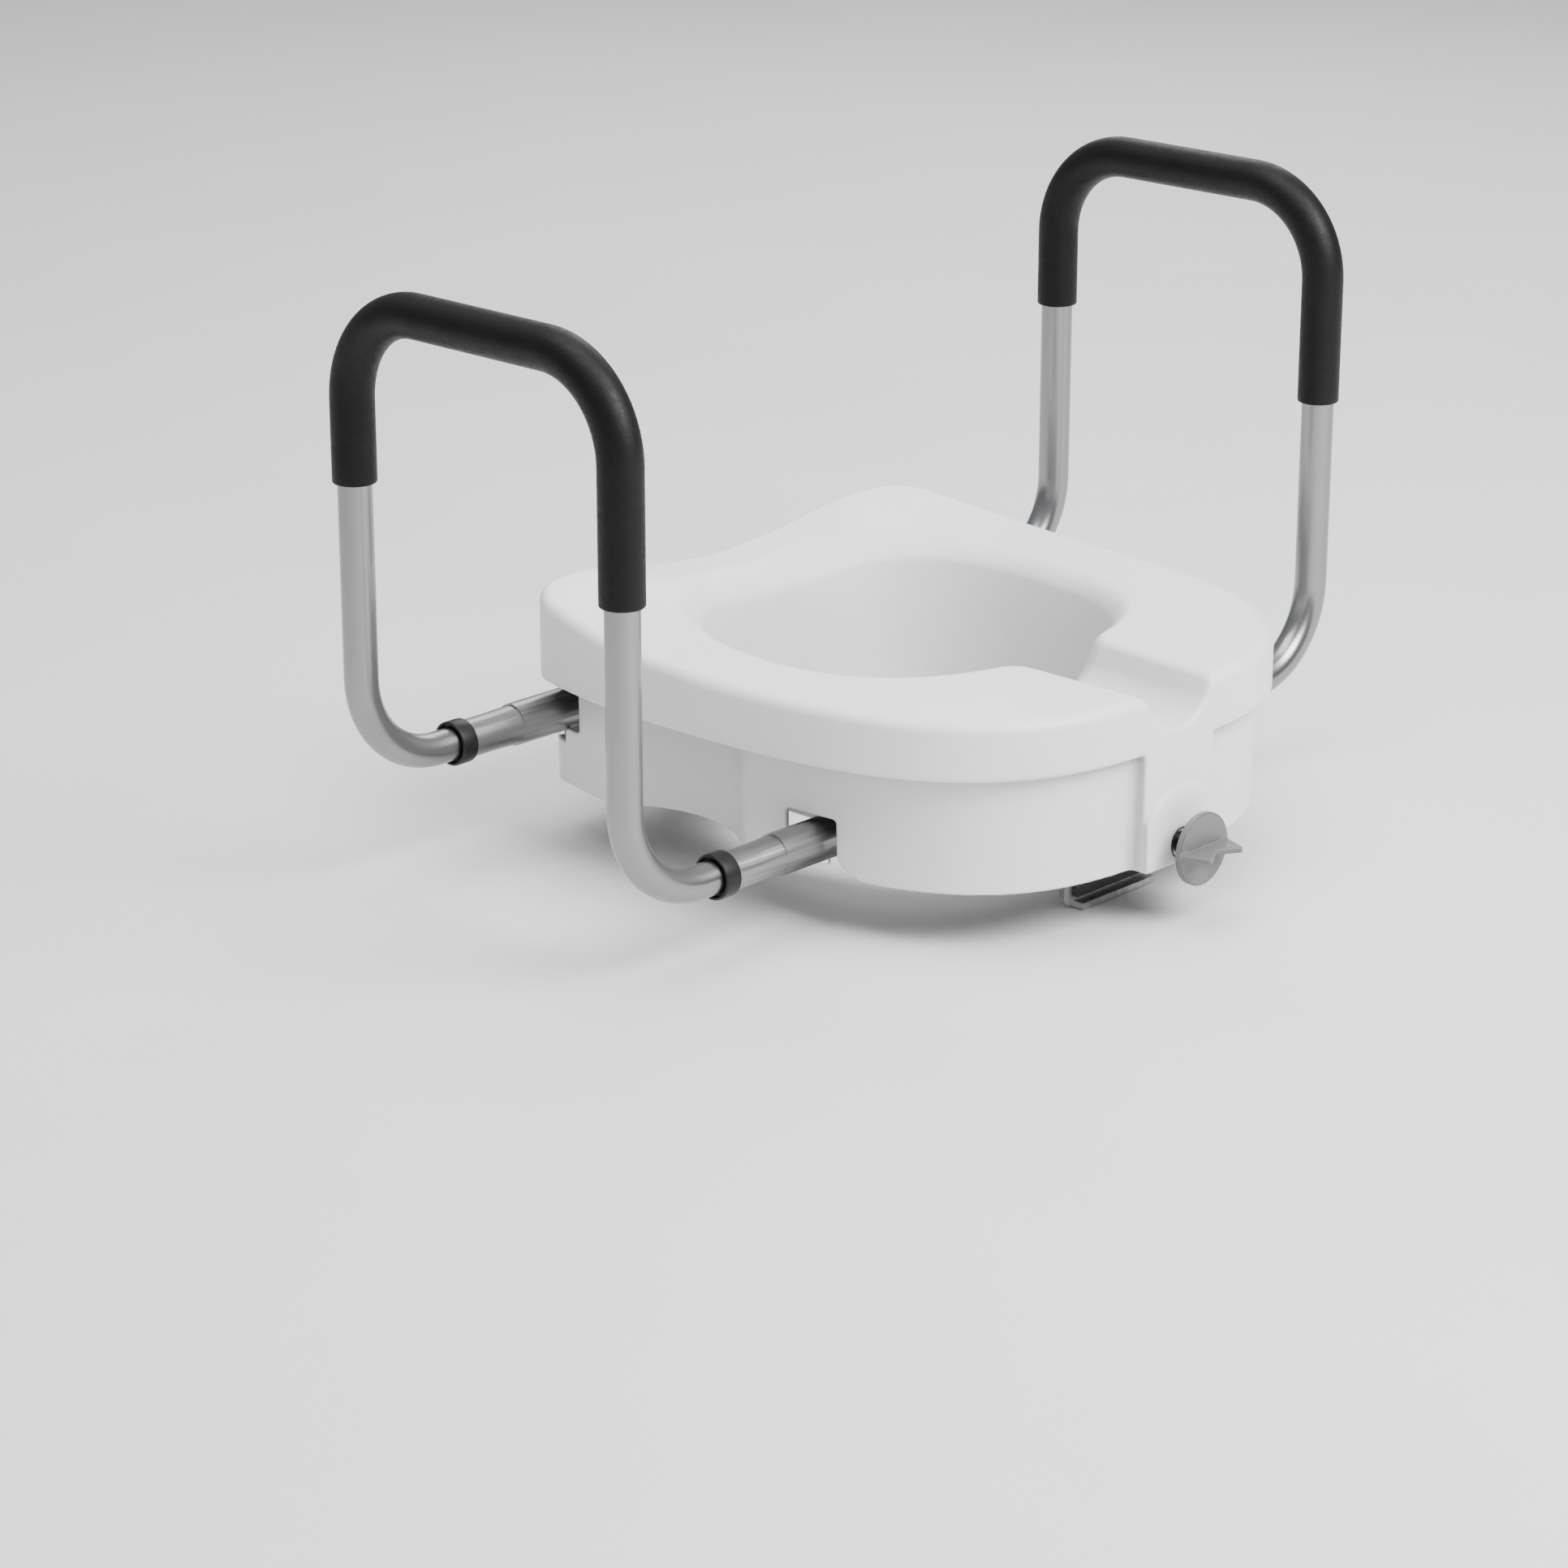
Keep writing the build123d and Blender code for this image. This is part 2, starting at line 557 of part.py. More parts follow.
def make_collar(side, leg):
    """Black moulded cap on a receiver's open end, with a recessed mouth round the arm tube."""
    outward = Plane(origin=(0, leg["y"], leg["z"]), x_dir=(0, 1, 0), z_dir=(side, 0, 0))
    web_outer_x = RECEIVER_OUTER_X + RUNNING_CLEARANCE + COLLAR_WEB
    with BuildPart() as collar:
        with BuildSketch(outward.offset(COLLAR_INNER_X)):
            Circle(COLLAR_RADIUS)
        extrude(amount=COLLAR_OUTER_X - COLLAR_INNER_X)
        fillet(collar.edges(), COLLAR_EDGE_RADIUS)
        with BuildSketch(outward.offset(COLLAR_INNER_X)):
            Circle(RECEIVER_RADIUS + RUNNING_CLEARANCE)
        extrude(amount=RECEIVER_OUTER_X + RUNNING_CLEARANCE - COLLAR_INNER_X, mode=Mode.SUBTRACT)
        with BuildSketch(outward.offset(web_outer_x)):
            Circle(COLLAR_MOUTH_RADIUS)
        extrude(amount=COLLAR_OUTER_X - web_outer_x, mode=Mode.SUBTRACT)
        with BuildSketch(outward.offset(COLLAR_INNER_X)):
            Circle(RECEIVER_BORE_RADIUS)
        extrude(amount=COLLAR_OUTER_X - COLLAR_INNER_X, mode=Mode.SUBTRACT)
    return collar.part


def make_button(side, leg):
    """Snap button: a domed pin that stands out of the tube and locks it in the receiver."""
    with BuildPart() as button:
        tip_z = leg["z"] - BUTTON_TIP_DEPTH
        top_z = leg["z"] - SPRING_LEAF_DEPTH - RUNNING_CLEARANCE
        add(upright_pin(side * BUTTON_X, leg["y"], tip_z, top_z, BUTTON_RADIUS))
        fillet(button.faces().sort_by(Axis.Z)[0].edges(), BUTTON_DOME_RADIUS)
    return button.part


def make_snap_spring(side, leg):
    """V-shaped leaf spring inside the tube; its lower leaf carries the button."""
    low = leg["z"] - SPRING_LEAF_DEPTH
    high = leg["z"] + SPRING_LEAF_HEIGHT
    outer = side * SPRING_OUTER_X
    inner = side * SPRING_INNER_X
    with BuildPart() as spring:
        with BuildSketch(Plane.XZ.offset(-leg["y"])):
            with BuildLine():
                Polyline(
                    (inner, low),
                    (outer, low),
                    (outer, low + SPRING_THICKNESS),
                    (inner, high),
                    (inner, high - SPRING_THICKNESS),
                    (outer - side * 3 * SPRING_THICKNESS, low + SPRING_THICKNESS),
                    (inner, low + SPRING_THICKNESS),
                    close=True,
                )
            make_face()
        extrude(amount=SPRING_HALF_WIDTH, both=True)
    return spring.part


# ---- clamp: knob, screw, bushing, plate ---------------------------------------------------------
def make_knob():
    """Round plate with a butterfly wing across its face."""
    root_y = KNOB_BACK_Y - KNOB_THICKNESS / 2
    shoulder_y = KNOB_BACK_Y - KNOB_THICKNESS
    with BuildPart() as knob:
        with BuildSketch(Plane.XZ.offset(-KNOB_BACK_Y)):
            with Locations((0, SCREW_Z)):
                Circle(KNOB_RADIUS)
        extrude(amount=KNOB_THICKNESS)
        fillet(knob.edges(), KNOB_EDGE_RADIUS)
        with BuildSketch(Plane.XY.offset(SCREW_Z - WING_THICKNESS / 2)) as wing:
            with BuildLine():
                Polyline(
                    (-WING_SHOULDER_X, root_y),
                    (-WING_SHOULDER_X, shoulder_y),
                    (-WING_TIP_X, WING_TIP_Y),
                    (0, WING_NOTCH_Y),
                    (WING_TIP_X, WING_TIP_Y),
                    (WING_SHOULDER_X, shoulder_y),
                    (WING_SHOULDER_X, root_y),
                    close=True,
                )
            make_face()
            fillet(wing.vertices().group_by(Axis.Y)[0], WING_CORNER_RADIUS)
        extrude(amount=WING_THICKNESS)
        with BuildSketch(Plane.XZ.offset(-KNOB_BACK_Y)):
            with Locations((0, SCREW_Z)):
                Circle(SCREW_RADIUS)
        extrude(amount=KNOB_BACK_Y - SCREW_FRONT_Y, mode=Mode.SUBTRACT)
    return knob.part


def screw_axis_disc(front_y, rear_y, radius, hole=0.0):
    """A cylinder or ring on the clamp screw's axis."""
    with BuildPart() as disc:
        with BuildSketch(Plane.XZ.offset(-rear_y)):
            with Locations((0, SCREW_Z)):
                Circle(radius)
                if hole:
                    Circle(hole, mode=Mode.SUBTRACT)
        extrude(amount=rear_y - front_y)
    return disc.part


def make_bushing():
    """Flanged sleeve that carries the screw through the front wall."""
    bore = SCREW_RADIUS + RUNNING_CLEARANCE
    with BuildPart() as bushing:
        add(screw_axis_disc(BOSS_FACE_Y, WALL_INNER_Y, BUSHING_RADIUS - RUNNING_CLEARANCE, bore))
        add(screw_axis_disc(WALL_INNER_Y, WALL_INNER_Y + BUSHING_FLANGE, BUSHING_FLANGE_RADIUS, bore))
        recess_y = BOSS_FACE_Y + BUSHING_RECESS
        recess = screw_axis_disc(BOSS_FACE_Y, recess_y, RING_RADIUS + RUNNING_CLEARANCE)
        add(recess, mode=Mode.SUBTRACT)
    return bushing.part


def make_screw():
    """Clamp screw, fixed in the knob and turning in the bushing."""
    with BuildPart() as screw:
        add(screw_axis_disc(SCREW_FRONT_Y, SCREW_REAR_Y, SCREW_RADIUS))
        chamfer(screw.faces().sort_by(Axis.Y)[-1].edges(), SCREW_RADIUS / 6)
    return screw.part


def make_screw_rings():
    """Two retaining rings that stop the screw from sliding through the bushing."""
    front_y = BOSS_FACE_Y + BUSHING_RECESS - RING_THICKNESS - RUNNING_CLEARANCE
    rear_y = WALL_INNER_Y + BUSHING_FLANGE + RUNNING_CLEARANCE
    rings = []
    for start_y in (front_y, rear_y):
        rings.append(screw_axis_disc(start_y, start_y + RING_THICKNESS, RING_RADIUS, SCREW_RADIUS))
    return rings


def make_clamp_plate():
    """Upright plate with a hooked lower lip, pulled forwards against the inside of the bowl's rim."""
    height = PLATE_TOP - PLATE_BOTTOM
    lip_width = 2 * (PLATE_HALF_WIDTH - PLATE_CORNER_RADIUS)
    with BuildPart() as plate:
        with BuildSketch(Plane.XZ.offset(-PLATE_FRONT_Y - PLATE_THICKNESS)) as face:
            with Locations((0, PLATE_BOTTOM)):
                Rectangle(2 * PLATE_HALF_WIDTH, height, align=(Align.CENTER, Align.MIN))
            fillet(face.vertices(), PLATE_CORNER_RADIUS)
            with Locations((0, SCREW_Z)):
                Circle(SCREW_RADIUS + RUNNING_CLEARANCE, mode=Mode.SUBTRACT)
        extrude(amount=PLATE_THICKNESS)
        with BuildSketch(Plane.XY.offset(PLATE_BOTTOM)):
            with Locations((0, PLATE_FRONT_Y)):
                Rectangle(lip_width, PLATE_LIP, align=(Align.CENTER, Align.MAX))
        extrude(amount=PLATE_THICKNESS)
    return plate.part


def make_clamp_nut():
    """Square nut on the back of the clamp plate."""
    back_y = PLATE_FRONT_Y + PLATE_THICKNESS
    with BuildPart() as nut:
        with BuildSketch(Plane.XZ.offset(-back_y - NUT_THICKNESS)):
            with Locations((0, SCREW_Z)):
                Rectangle(NUT_WIDTH, NUT_WIDTH)
                Circle(SCREW_RADIUS + RUNNING_CLEARANCE, mode=Mode.SUBTRACT)
        extrude(amount=NUT_THICKNESS)
        chamfer(nut.edges().filter_by(Axis.Y), NUT_THICKNESS / 8)
    return nut.part


def make_clamp_pad():
    """Rubber facing on the clamp plate."""
    with BuildPart() as pad:
        with BuildSketch(Plane.XZ.offset(-PLATE_FRONT_Y)) as face:
            with Locations((0, CLAMP_PAD_BOTTOM)):
                height = CLAMP_PAD_TOP - CLAMP_PAD_BOTTOM
                Rectangle(2 * CLAMP_PAD_HALF_WIDTH, height, align=(Align.CENTER, Align.MIN))
            fillet(face.vertices(), CLAMP_PAD_THICKNESS)
        extrude(amount=CLAMP_PAD_THICKNESS)
        fillet(pad.faces().sort_by(Axis.Y)[0].edges(), CLAMP_PAD_THICKNESS / 3)
    return pad.part


# ---- rear stops ---------------------------------------------------------------------------------
def make_rear_stop(side):
    """L-bracket that hooks behind the bowl's back rim."""
    with BuildPart() as stop:
        with BuildSketch(Plane.XY) as foot:
            with Locations((side * STOP_X, STOP_FOOT_Y)):
                depth = STOP_FACE_Y - STOP_FOOT_Y
                Rectangle(2 * STOP_HALF_WIDTH, depth, align=(Align.CENTER, Align.MIN))
            fillet(foot.vertices().group_by(Axis.Y)[0], STOP_CORNER_RADIUS)
        extrude(amount=STOP_FOOT_TOP)
        with BuildSketch(Plane.XZ.offset(-STOP_FACE_Y)) as hook:
            with Locations((side * STOP_X, STOP_BOTTOM)):
                height = STOP_FOOT_TOP - STOP_BOTTOM
                Rectangle(2 * STOP_HALF_WIDTH, height, align=(Align.CENTER, Align.MIN))
            fillet(hook.vertices().group_by(Axis.Y)[0], STOP_CORNER_RADIUS)
        extrude(amount=STOP_THICKNESS)
        for half in (-1, 1):
            screw_x = side * STOP_X + half * STOP_SCREW_HALF_SPACING
            hole = upright_pin(
                screw_x, STOP_SCREW_Y, 0, STOP_FOOT_TOP, STOP_SCREW_RADIUS + RUNNING_CLEARANCE
            )
            add(hole, mode=Mode.SUBTRACT)
    return stop.part


def make_stop_pad(side):
    """Rubber facing on a rear stop."""
    with BuildPart() as pad:
        with BuildSketch(Plane.XZ.offset(-STOP_FACE_Y - STOP_PAD_THICKNESS)) as face:
            with Locations((side * STOP_X, STOP_BOTTOM + STOP_PAD_THICKNESS)):
                height = STOP_PAD_TOP - STOP_BOTTOM - STOP_PAD_THICKNESS
                Rectangle(2 * STOP_PAD_HALF_WIDTH, height, align=(Align.CENTER, Align.MIN))
            fillet(face.vertices(), STOP_PAD_THICKNESS)
        extrude(amount=STOP_PAD_THICKNESS)
    return pad.part


# ---- labels and files ---------------------------------------------------------------------------
def write(name, *solids):
    """Write one node: a single solid, or a group of identical ones."""
    piece = solids[0] if len(solids) == 1 else Compound(children=list(solids))
    piece.label = name
    export_step(piece, f"parts/{name}.step")


write("seat_shell", seat_shell.part)
for side_name, side in SIDES.items():
    write(f"arm_tube_{side_name}", make_arm_tube(side))
    write(f"grip_{side_name}", make_grip(side))
    write(f"snap_springs_{side_name}", *[make_snap_spring(side, leg) for leg in LEGS.values()])
    for leg_name, leg in LEGS.items():
        write(f"receiver_{leg_name}_{side_name}", make_receiver(side, leg))
        write(f"collar_{leg_name}_{side_name}", make_collar(side, leg))
        write(f"snap_button_{leg_name}_{side_name}", make_button(side, leg))

receiver_screws = []
for side in SIDES.values():
    for leg in LEGS.values():
        seat_z = leg["z"] - RECEIVER_ROOT_HEIGHT / 2
        tip_z = leg["z"] + RECEIVER_SCREW_REACH
        place = (side * RECEIVER_SCREW_X, leg["y"], seat_z, tip_z)
        receiver_screws.append(pan_head_screw(*place, SHANK_RADIUS, HEAD_RADIUS, HEAD_HEIGHT))
write("receiver_screws", *receiver_screws)

write("knob", make_knob())
write("clamp_screw", make_screw())
write("screw_bushing", make_bushing())
write("screw_rings", *make_screw_rings())
write("clamp_plate", make_clamp_plate())
write("clamp_nut", make_clamp_nut())
write("clamp_pad", make_clamp_pad())
write("rear_stops", *[make_rear_stop(side) for side in SIDES.values()])
write("stop_pads", *[make_stop_pad(side) for side in SIDES.values()])
stop_screws = []
for screw_x in STOP_SCREW_XS:
    place = (screw_x, STOP_SCREW_Y, 0, STOP_SCREW_TOP)
    stop_screw_size = (STOP_SCREW_RADIUS, 2 * STOP_SCREW_RADIUS, STOP_SCREW_RADIUS)
    stop_screws.append(pan_head_screw(*place, *stop_screw_size))
write("stop_screws", *stop_screws)
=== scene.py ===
"""Looks for the raised toilet seat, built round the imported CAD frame.

Shapes are worked out in millimetres, in the row frame, and turned into metres when a mesh is made.
The seat and the knob are distance fields turned into quad meshes. Tubes, grips, collars and the screw
are rings of points carried along a path.
"""

import json
import math

import bpy
import numpy as np
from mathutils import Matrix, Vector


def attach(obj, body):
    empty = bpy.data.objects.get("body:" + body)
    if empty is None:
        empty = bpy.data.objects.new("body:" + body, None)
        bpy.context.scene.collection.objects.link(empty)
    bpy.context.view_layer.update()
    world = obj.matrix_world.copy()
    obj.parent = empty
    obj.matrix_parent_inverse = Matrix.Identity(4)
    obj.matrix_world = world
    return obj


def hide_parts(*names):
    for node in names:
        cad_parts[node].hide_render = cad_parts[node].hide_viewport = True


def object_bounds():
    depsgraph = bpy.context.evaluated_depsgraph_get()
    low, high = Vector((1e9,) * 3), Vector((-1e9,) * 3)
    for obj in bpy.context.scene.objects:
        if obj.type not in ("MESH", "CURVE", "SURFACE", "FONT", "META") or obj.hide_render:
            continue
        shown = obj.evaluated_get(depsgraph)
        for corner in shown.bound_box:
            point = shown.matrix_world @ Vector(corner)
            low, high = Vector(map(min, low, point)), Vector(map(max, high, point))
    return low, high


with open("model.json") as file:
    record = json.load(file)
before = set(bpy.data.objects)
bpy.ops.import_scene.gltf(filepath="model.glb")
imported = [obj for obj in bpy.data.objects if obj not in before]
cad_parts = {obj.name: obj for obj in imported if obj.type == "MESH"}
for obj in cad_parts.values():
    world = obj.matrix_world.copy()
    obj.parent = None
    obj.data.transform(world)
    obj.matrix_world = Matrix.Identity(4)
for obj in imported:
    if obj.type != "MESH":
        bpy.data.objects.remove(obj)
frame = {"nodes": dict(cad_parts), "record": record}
cad_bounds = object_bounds()

MM = 0.001
SIDES = {"left": -1, "right": 1}

# ---- dimensions, millimetres --------------------------------------------------------------------
# seat plan
SEAT_HALF_WIDTH = 203.0
SEAT_WIDEST_Y = 42.0
SEAT_FRONT_Y = -235.0
SEAT_REAR_Y = 184.0
SEAT_SIDE_RADIUS = 411.0
REAR_CORNER_Y = 169.0
REAR_CORNER_RADIUS = 24.0
OUTLINE_POWER = 2.9
BAND_BOTTOM = 78.0
WALL = 3.5
TOP_SIDE_VIEW = [(-260, 115.5), (-110, 117.8), (0, 119.0), (90, 125.0), (150, 134.5), (200, 144.0)]
TOP_REAR_VIEW = [(0, 118.5), (60, 124.5), (100, 132.5), (140, 139.0), (215, 150.0)]
TOP_EDGE_RADIUS = 8.0
BAND_BOTTOM_RADIUS = 2.5

# skirt
SKIRT_HALF_WIDTH = 176.0
SKIRT_WIDEST_Y = -21.0
SKIRT_FRONT_Y = -225.5
SKIRT_REAR_Y = 170.5
SKIRT_REAR_HALF_WIDTH = 162.5
SKIRT_CORNER_RADIUS = 14.0
SKIRT_DRAFT = 0.02
SCALLOP_REAR_Y = 100.0
SCALLOP_DEPTH = 24.5

# bowl: half width, front and rear at two levels
BOWL_CENTRE_Y = -2.0
BOWL_POWER = 2.3
BOWL_LEVELS = (-2.0, 150.0)
BOWL_HALF_WIDTHS = (100.0, 146.0)
BOWL_FRONTS = (-118.0, -133.0)
BOWL_REARS = (80.0, 138.0)
RIM_RADIUS = 14.0
REAR_RIM_RADIUS = 24.0
CHANNEL_RIM_RADIUS = 4.0
LOWER_RIM_RADIUS = 1.5

# access channel: a U that widens upwards and towards the bowl
CHANNEL_FLOOR = 89.0
CHANNEL_MOUTH_HALF_WIDTH = 31.0
CHANNEL_INNER_HALF_WIDTH = 34.0
CHANNEL_LEVEL = 112.0
CHANNEL_SLOPE = math.radians(60)
CHANNEL_CORNER_RADIUS = 15.0
CHANNEL_INNER_Y = -100.0
CHANNEL_BLEND = 14.0

# notches round the receivers
REAR_NOTCH_INNER_X = 150.0
REAR_NOTCH_FRONT_Y = 136.0
REAR_NOTCH_FLOOR = 39.5
FRONT_NOTCH_INNER_X = 165.0
FRONT_NOTCH_HALF_WIDTH = 20.0
FRONT_NOTCH_TOP = 38.0
NOTCH_RADIUS = 3.0

# pockets in the rear wall, over the rear receivers
POCKET_RADIUS = 17.0
POCKET_INNER_X = 114.5
POCKET_OUTER_X = 151.0
POCKET_END_RADIUS = 3.0

# ribs, saddles and pillars inside the seat
RIB_HALF_THICKNESS = 1.5
RIB_BOTTOM = 8.0
SIDE_RIB_YS = (8.0, 72.0)
SIDE_RIB_INNER_X = 88.0
FRONT_RIB_XS = (46.0, 84.0)
FRONT_RIB_REAR_Y = -86.0
REAR_RIB_X = 30.0
REAR_RIB_FRONT_Y = 61.0
SADDLE_XS = (121.0, 143.0)
SADDLE_HALF_THICKNESS = 2.0
SADDLE_HALF_WIDTH = 17.0
SADDLE_BOSS_X = 130.0
SADDLE_BOSS_RADIUS = 6.0
STOP_PILLAR_XS = (52.0, 76.0)
STOP_PILLAR_Y = 101.0
STOP_PILLAR_RADIUS = 7.0
STOP_PILLAR_BOTTOM = 4.0

# front panel, boss, screw
PANEL_HALF_WIDTH = 34.0
PANEL_PROUD = 0.4
PANEL_FADE = 1.4
PANEL_FADE_HEIGHT = 20.0
PANEL_TOP = 100.0
PANEL_REAR_Y = -205.0
PANEL_INNER_Y = -222.5
PANEL_EDGE_RADIUS = 2.0
BOSS_RADIUS = 39.0
BOSS_FRONT_Y = -238.0
BOSS_REAR_Y = -215.0
BOSS_EDGE_RADIUS = 2.2
BUSHING_RADIUS = 10.0
SCREW_Z = 13.0
SCREW_RADIUS = 7.0
SCREW_FRONT_Y = -255.0
SCREW_REAR_Y = -136.0
THREAD_PITCH = 3.0
THREAD_DEPTH = 1.1

# arms
ARM_X = 336.8
LEGS = {
    "front": {"y": -79.2, "z": 19.2, "grip_end": 210.1},
    "rear": {"y": 159.2, "z": 50.0, "grip_end": 240.8},
}
ARM_TOP_Z = 356.4
ARM_BEND_RADIUS = 62.0
ARM_INNER_X = 146.0
ARM_TUBE_RADIUS = 11.1
ARM_TUBE_INNER_RADIUS = 9.7
GRIP_RADIUS = 14.3
GRIP_INNER_RADIUS = 11.15
GRIP_EDGE_RADIUS = 1.4
BUTTON_X = 162.0
BUTTON_HOLE_RADIUS = 4.6
BUTTON_ACCESS_RADIUS = 8.0
BUTTON_ACCESS_DEPTH = 20.2

# receivers and collars
RECEIVER_INNER_X = 118.0
RECEIVER_RADIUS = 12.8
RECEIVER_HALF_FLAT = 1.6
COLLAR_INNER_X = 251.0
COLLAR_OUTER_X = 264.0
COLLAR_WEB_X = 260.55
COLLAR_WEB_INNER_X = 259.05
COLLAR_RADIUS = 14.8
COLLAR_MOUTH_RADIUS = 12.9
COLLAR_BORE_RADIUS = 11.2
COLLAR_SOCKET_RADIUS = 12.75
COLLAR_EDGE_RADIUS = 1.2

# knob
KNOB_RADIUS = 24.0
KNOB_BACK_Y = -252.0
KNOB_FRONT_Y = -256.0
KNOB_EDGE_RADIUS = 0.6
WING_HALF_THICKNESS = 1.75
WING_SHOULDER_X = KNOB_RADIUS - KNOB_EDGE_RADIUS
WING_TIP_X = 16.0
WING_TIP_Y = -275.5
WING_NOTCH_Y = -265.0
WING_CORNER_RADIUS = 2.5
WING_NOTCH_RADIUS = 0.8
WING_ROOT_RADIUS = 0.8

SEAT_STEP = 1.5
KNOB_STEP = 0.5


# ---- distance fields: millimetres, negative inside ----------------------------------------------
def edge(a, b, radius):
    """Where both a and b are inside, with a round outer edge."""
    corner = np.hypot(np.maximum(a + radius, 0), np.maximum(b + radius, 0))
    return np.minimum(np.maximum(a, b), -radius) + corner


def join(a, b, radius):
    """Where a or b is inside, with a round inner corner."""
    return -edge(-a, -b, radius)


def beyond(u, v, start, end):
    """Distance to the line from start to end, positive on its right."""
    run = end[0] - start[0]
    rise = end[1] - start[1]
    return ((u - start[0]) * rise - (v - start[1]) * run) / math.hypot(run, rise)


def smooth_step(t):
    """0 below 0, 1 above 1, smooth between."""
    t = np.clip(t, 0, 1)
    return t * t * (3 - 2 * t)


def curve(t, points):
    """Smooth curve through points (t, value), straight beyond its ends."""
    knots, values = np.array(points, np.float32).T
    slopes = np.gradient(values, knots)
    inside = np.clip(t, knots[0], knots[-1])
    i = np.clip(np.searchsorted(knots, inside) - 1, 0, len(knots) - 2)
    span = knots[i + 1] - knots[i]
    u = (inside - knots[i]) / span
    start = values[i] * (1 + 2 * u) * (1 - u) ** 2 + values[i + 1] * u * u * (3 - 2 * u)
    turn = span * (slopes[i] * u * (1 - u) ** 2 - slopes[i + 1] * u * u * (1 - u))
    ends = np.where(t < knots[0], slopes[0], slopes[-1]) * (t - inside)
    return start + turn + ends


def oval(x, y, half_width, front, rear, centre_y, power):
    """Distance to a superellipse whose front and rear halves reach differently."""
    reach = np.where(y < centre_y, centre_y - front, rear - centre_y)
    across = np.abs(x) / half_width + 1e-6
    along = np.abs(y - centre_y) / reach + 1e-6
    total = across ** power + along ** power
    radius = total ** (1 / power)
    slope = np.hypot(across ** (power - 1) / half_width, along ** (power - 1) / reach)
    return (radius - 1) / (slope * total ** (1 / power - 1))


def seat_plan(x, y):
    """Distance to the seat's outline, seen from above."""
    front = oval(x, y, SEAT_HALF_WIDTH, SEAT_FRONT_Y, SEAT_REAR_Y, SEAT_WIDEST_Y, OUTLINE_POWER)
    behind = y - SEAT_WIDEST_Y
    slope = behind / SEAT_SIDE_RADIUS
    side = (np.abs(x) - SEAT_HALF_WIDTH + behind * slope / 2) / np.hypot(1, slope)
    corner_x = SEAT_HALF_WIDTH - (REAR_CORNER_Y - SEAT_WIDEST_Y) ** 2 / (2 * SEAT_SIDE_RADIUS)
    drop = SEAT_REAR_Y - REAR_CORNER_Y
    back = y - SEAT_REAR_Y + drop * (x / corner_x) ** 2
    rear = edge(side, back, REAR_CORNER_RADIUS)
    return np.where(y < SEAT_WIDEST_Y, front, rear)


def skirt_plan(x, y):
    """Distance to the skirt's outline, with a concave scallop in each side."""
    front = oval(x, y, SKIRT_HALF_WIDTH, SKIRT_FRONT_Y, SKIRT_REAR_Y, SKIRT_WIDEST_Y, OUTLINE_POWER)
    taper = (SKIRT_HALF_WIDTH - SKIRT_REAR_HALF_WIDTH) / (SKIRT_REAR_Y - SCALLOP_REAR_Y)
    side = np.abs(x) - SKIRT_HALF_WIDTH + taper * np.maximum(y - SCALLOP_REAR_Y, 0)
    rear = edge(side, y - SKIRT_REAR_Y, SKIRT_CORNER_RADIUS)
    half_chord = (SCALLOP_REAR_Y - SKIRT_WIDEST_Y) / 2
    radius = (half_chord ** 2 + SCALLOP_DEPTH ** 2) / (2 * SCALLOP_DEPTH)
    centre_x = SKIRT_HALF_WIDTH - SCALLOP_DEPTH + radius
    centre_y = SKIRT_WIDEST_Y + half_chord
    scallop = radius - np.hypot(np.abs(x) - centre_x, y - centre_y)
    return edge(np.where(y < SKIRT_WIDEST_Y, front, rear), scallop, 5.0)


def bowl_field(x, y, z):
    """The funnel through the seat."""
    share = (z - BOWL_LEVELS[0]) / (BOWL_LEVELS[1] - BOWL_LEVELS[0])
    sizes = [low + share * (high - low) for low, high in (BOWL_HALF_WIDTHS, BOWL_FRONTS, BOWL_REARS)]
    return oval(x, y, *sizes, BOWL_CENTRE_Y, BOWL_POWER)


def channel_field(x, y, z):
    """The access channel from the front into the bowl."""
    inwards = smooth_step((y - SEAT_FRONT_Y) / (CHANNEL_INNER_Y - SEAT_FRONT_Y))
    half_width = CHANNEL_MOUTH_HALF_WIDTH + inwards * (CHANNEL_INNER_HALF_WIDTH - CHANNEL_MOUTH_HALF_WIDTH)
    rise = (z - CHANNEL_LEVEL) * math.cos(CHANNEL_SLOPE)
    side = (np.abs(x) - half_width) * math.sin(CHANNEL_SLOPE) - rise
    section = edge(side, CHANNEL_FLOOR - z, CHANNEL_CORNER_RADIUS)
    return np.maximum(section, y - CHANNEL_INNER_Y)


def notch_field(x, y, z):
    """Notches in the skirt, rounded, with a flare at the front notch's lower front corner."""
    across = np.abs(x)
    rear = edge(REAR_NOTCH_FRONT_Y - y, REAR_NOTCH_FLOOR - z, NOTCH_RADIUS)
    rear = np.maximum(np.maximum(rear, z - BAND_BOTTOM), REAR_NOTCH_INNER_X - across)
    from_leg = y - LEGS["front"]["y"]
    front = edge(np.abs(from_leg) - FRONT_NOTCH_HALF_WIDTH, z - FRONT_NOTCH_TOP, NOTCH_RADIUS)
    flare_slope = math.radians(25)
    flare = z * math.cos(flare_slope) - (from_leg + 39.0) * math.sin(flare_slope)
    front = join(front, np.maximum(flare, from_leg), 6.0)
    return np.minimum(rear, np.maximum(front, FRONT_NOTCH_INNER_X - across))


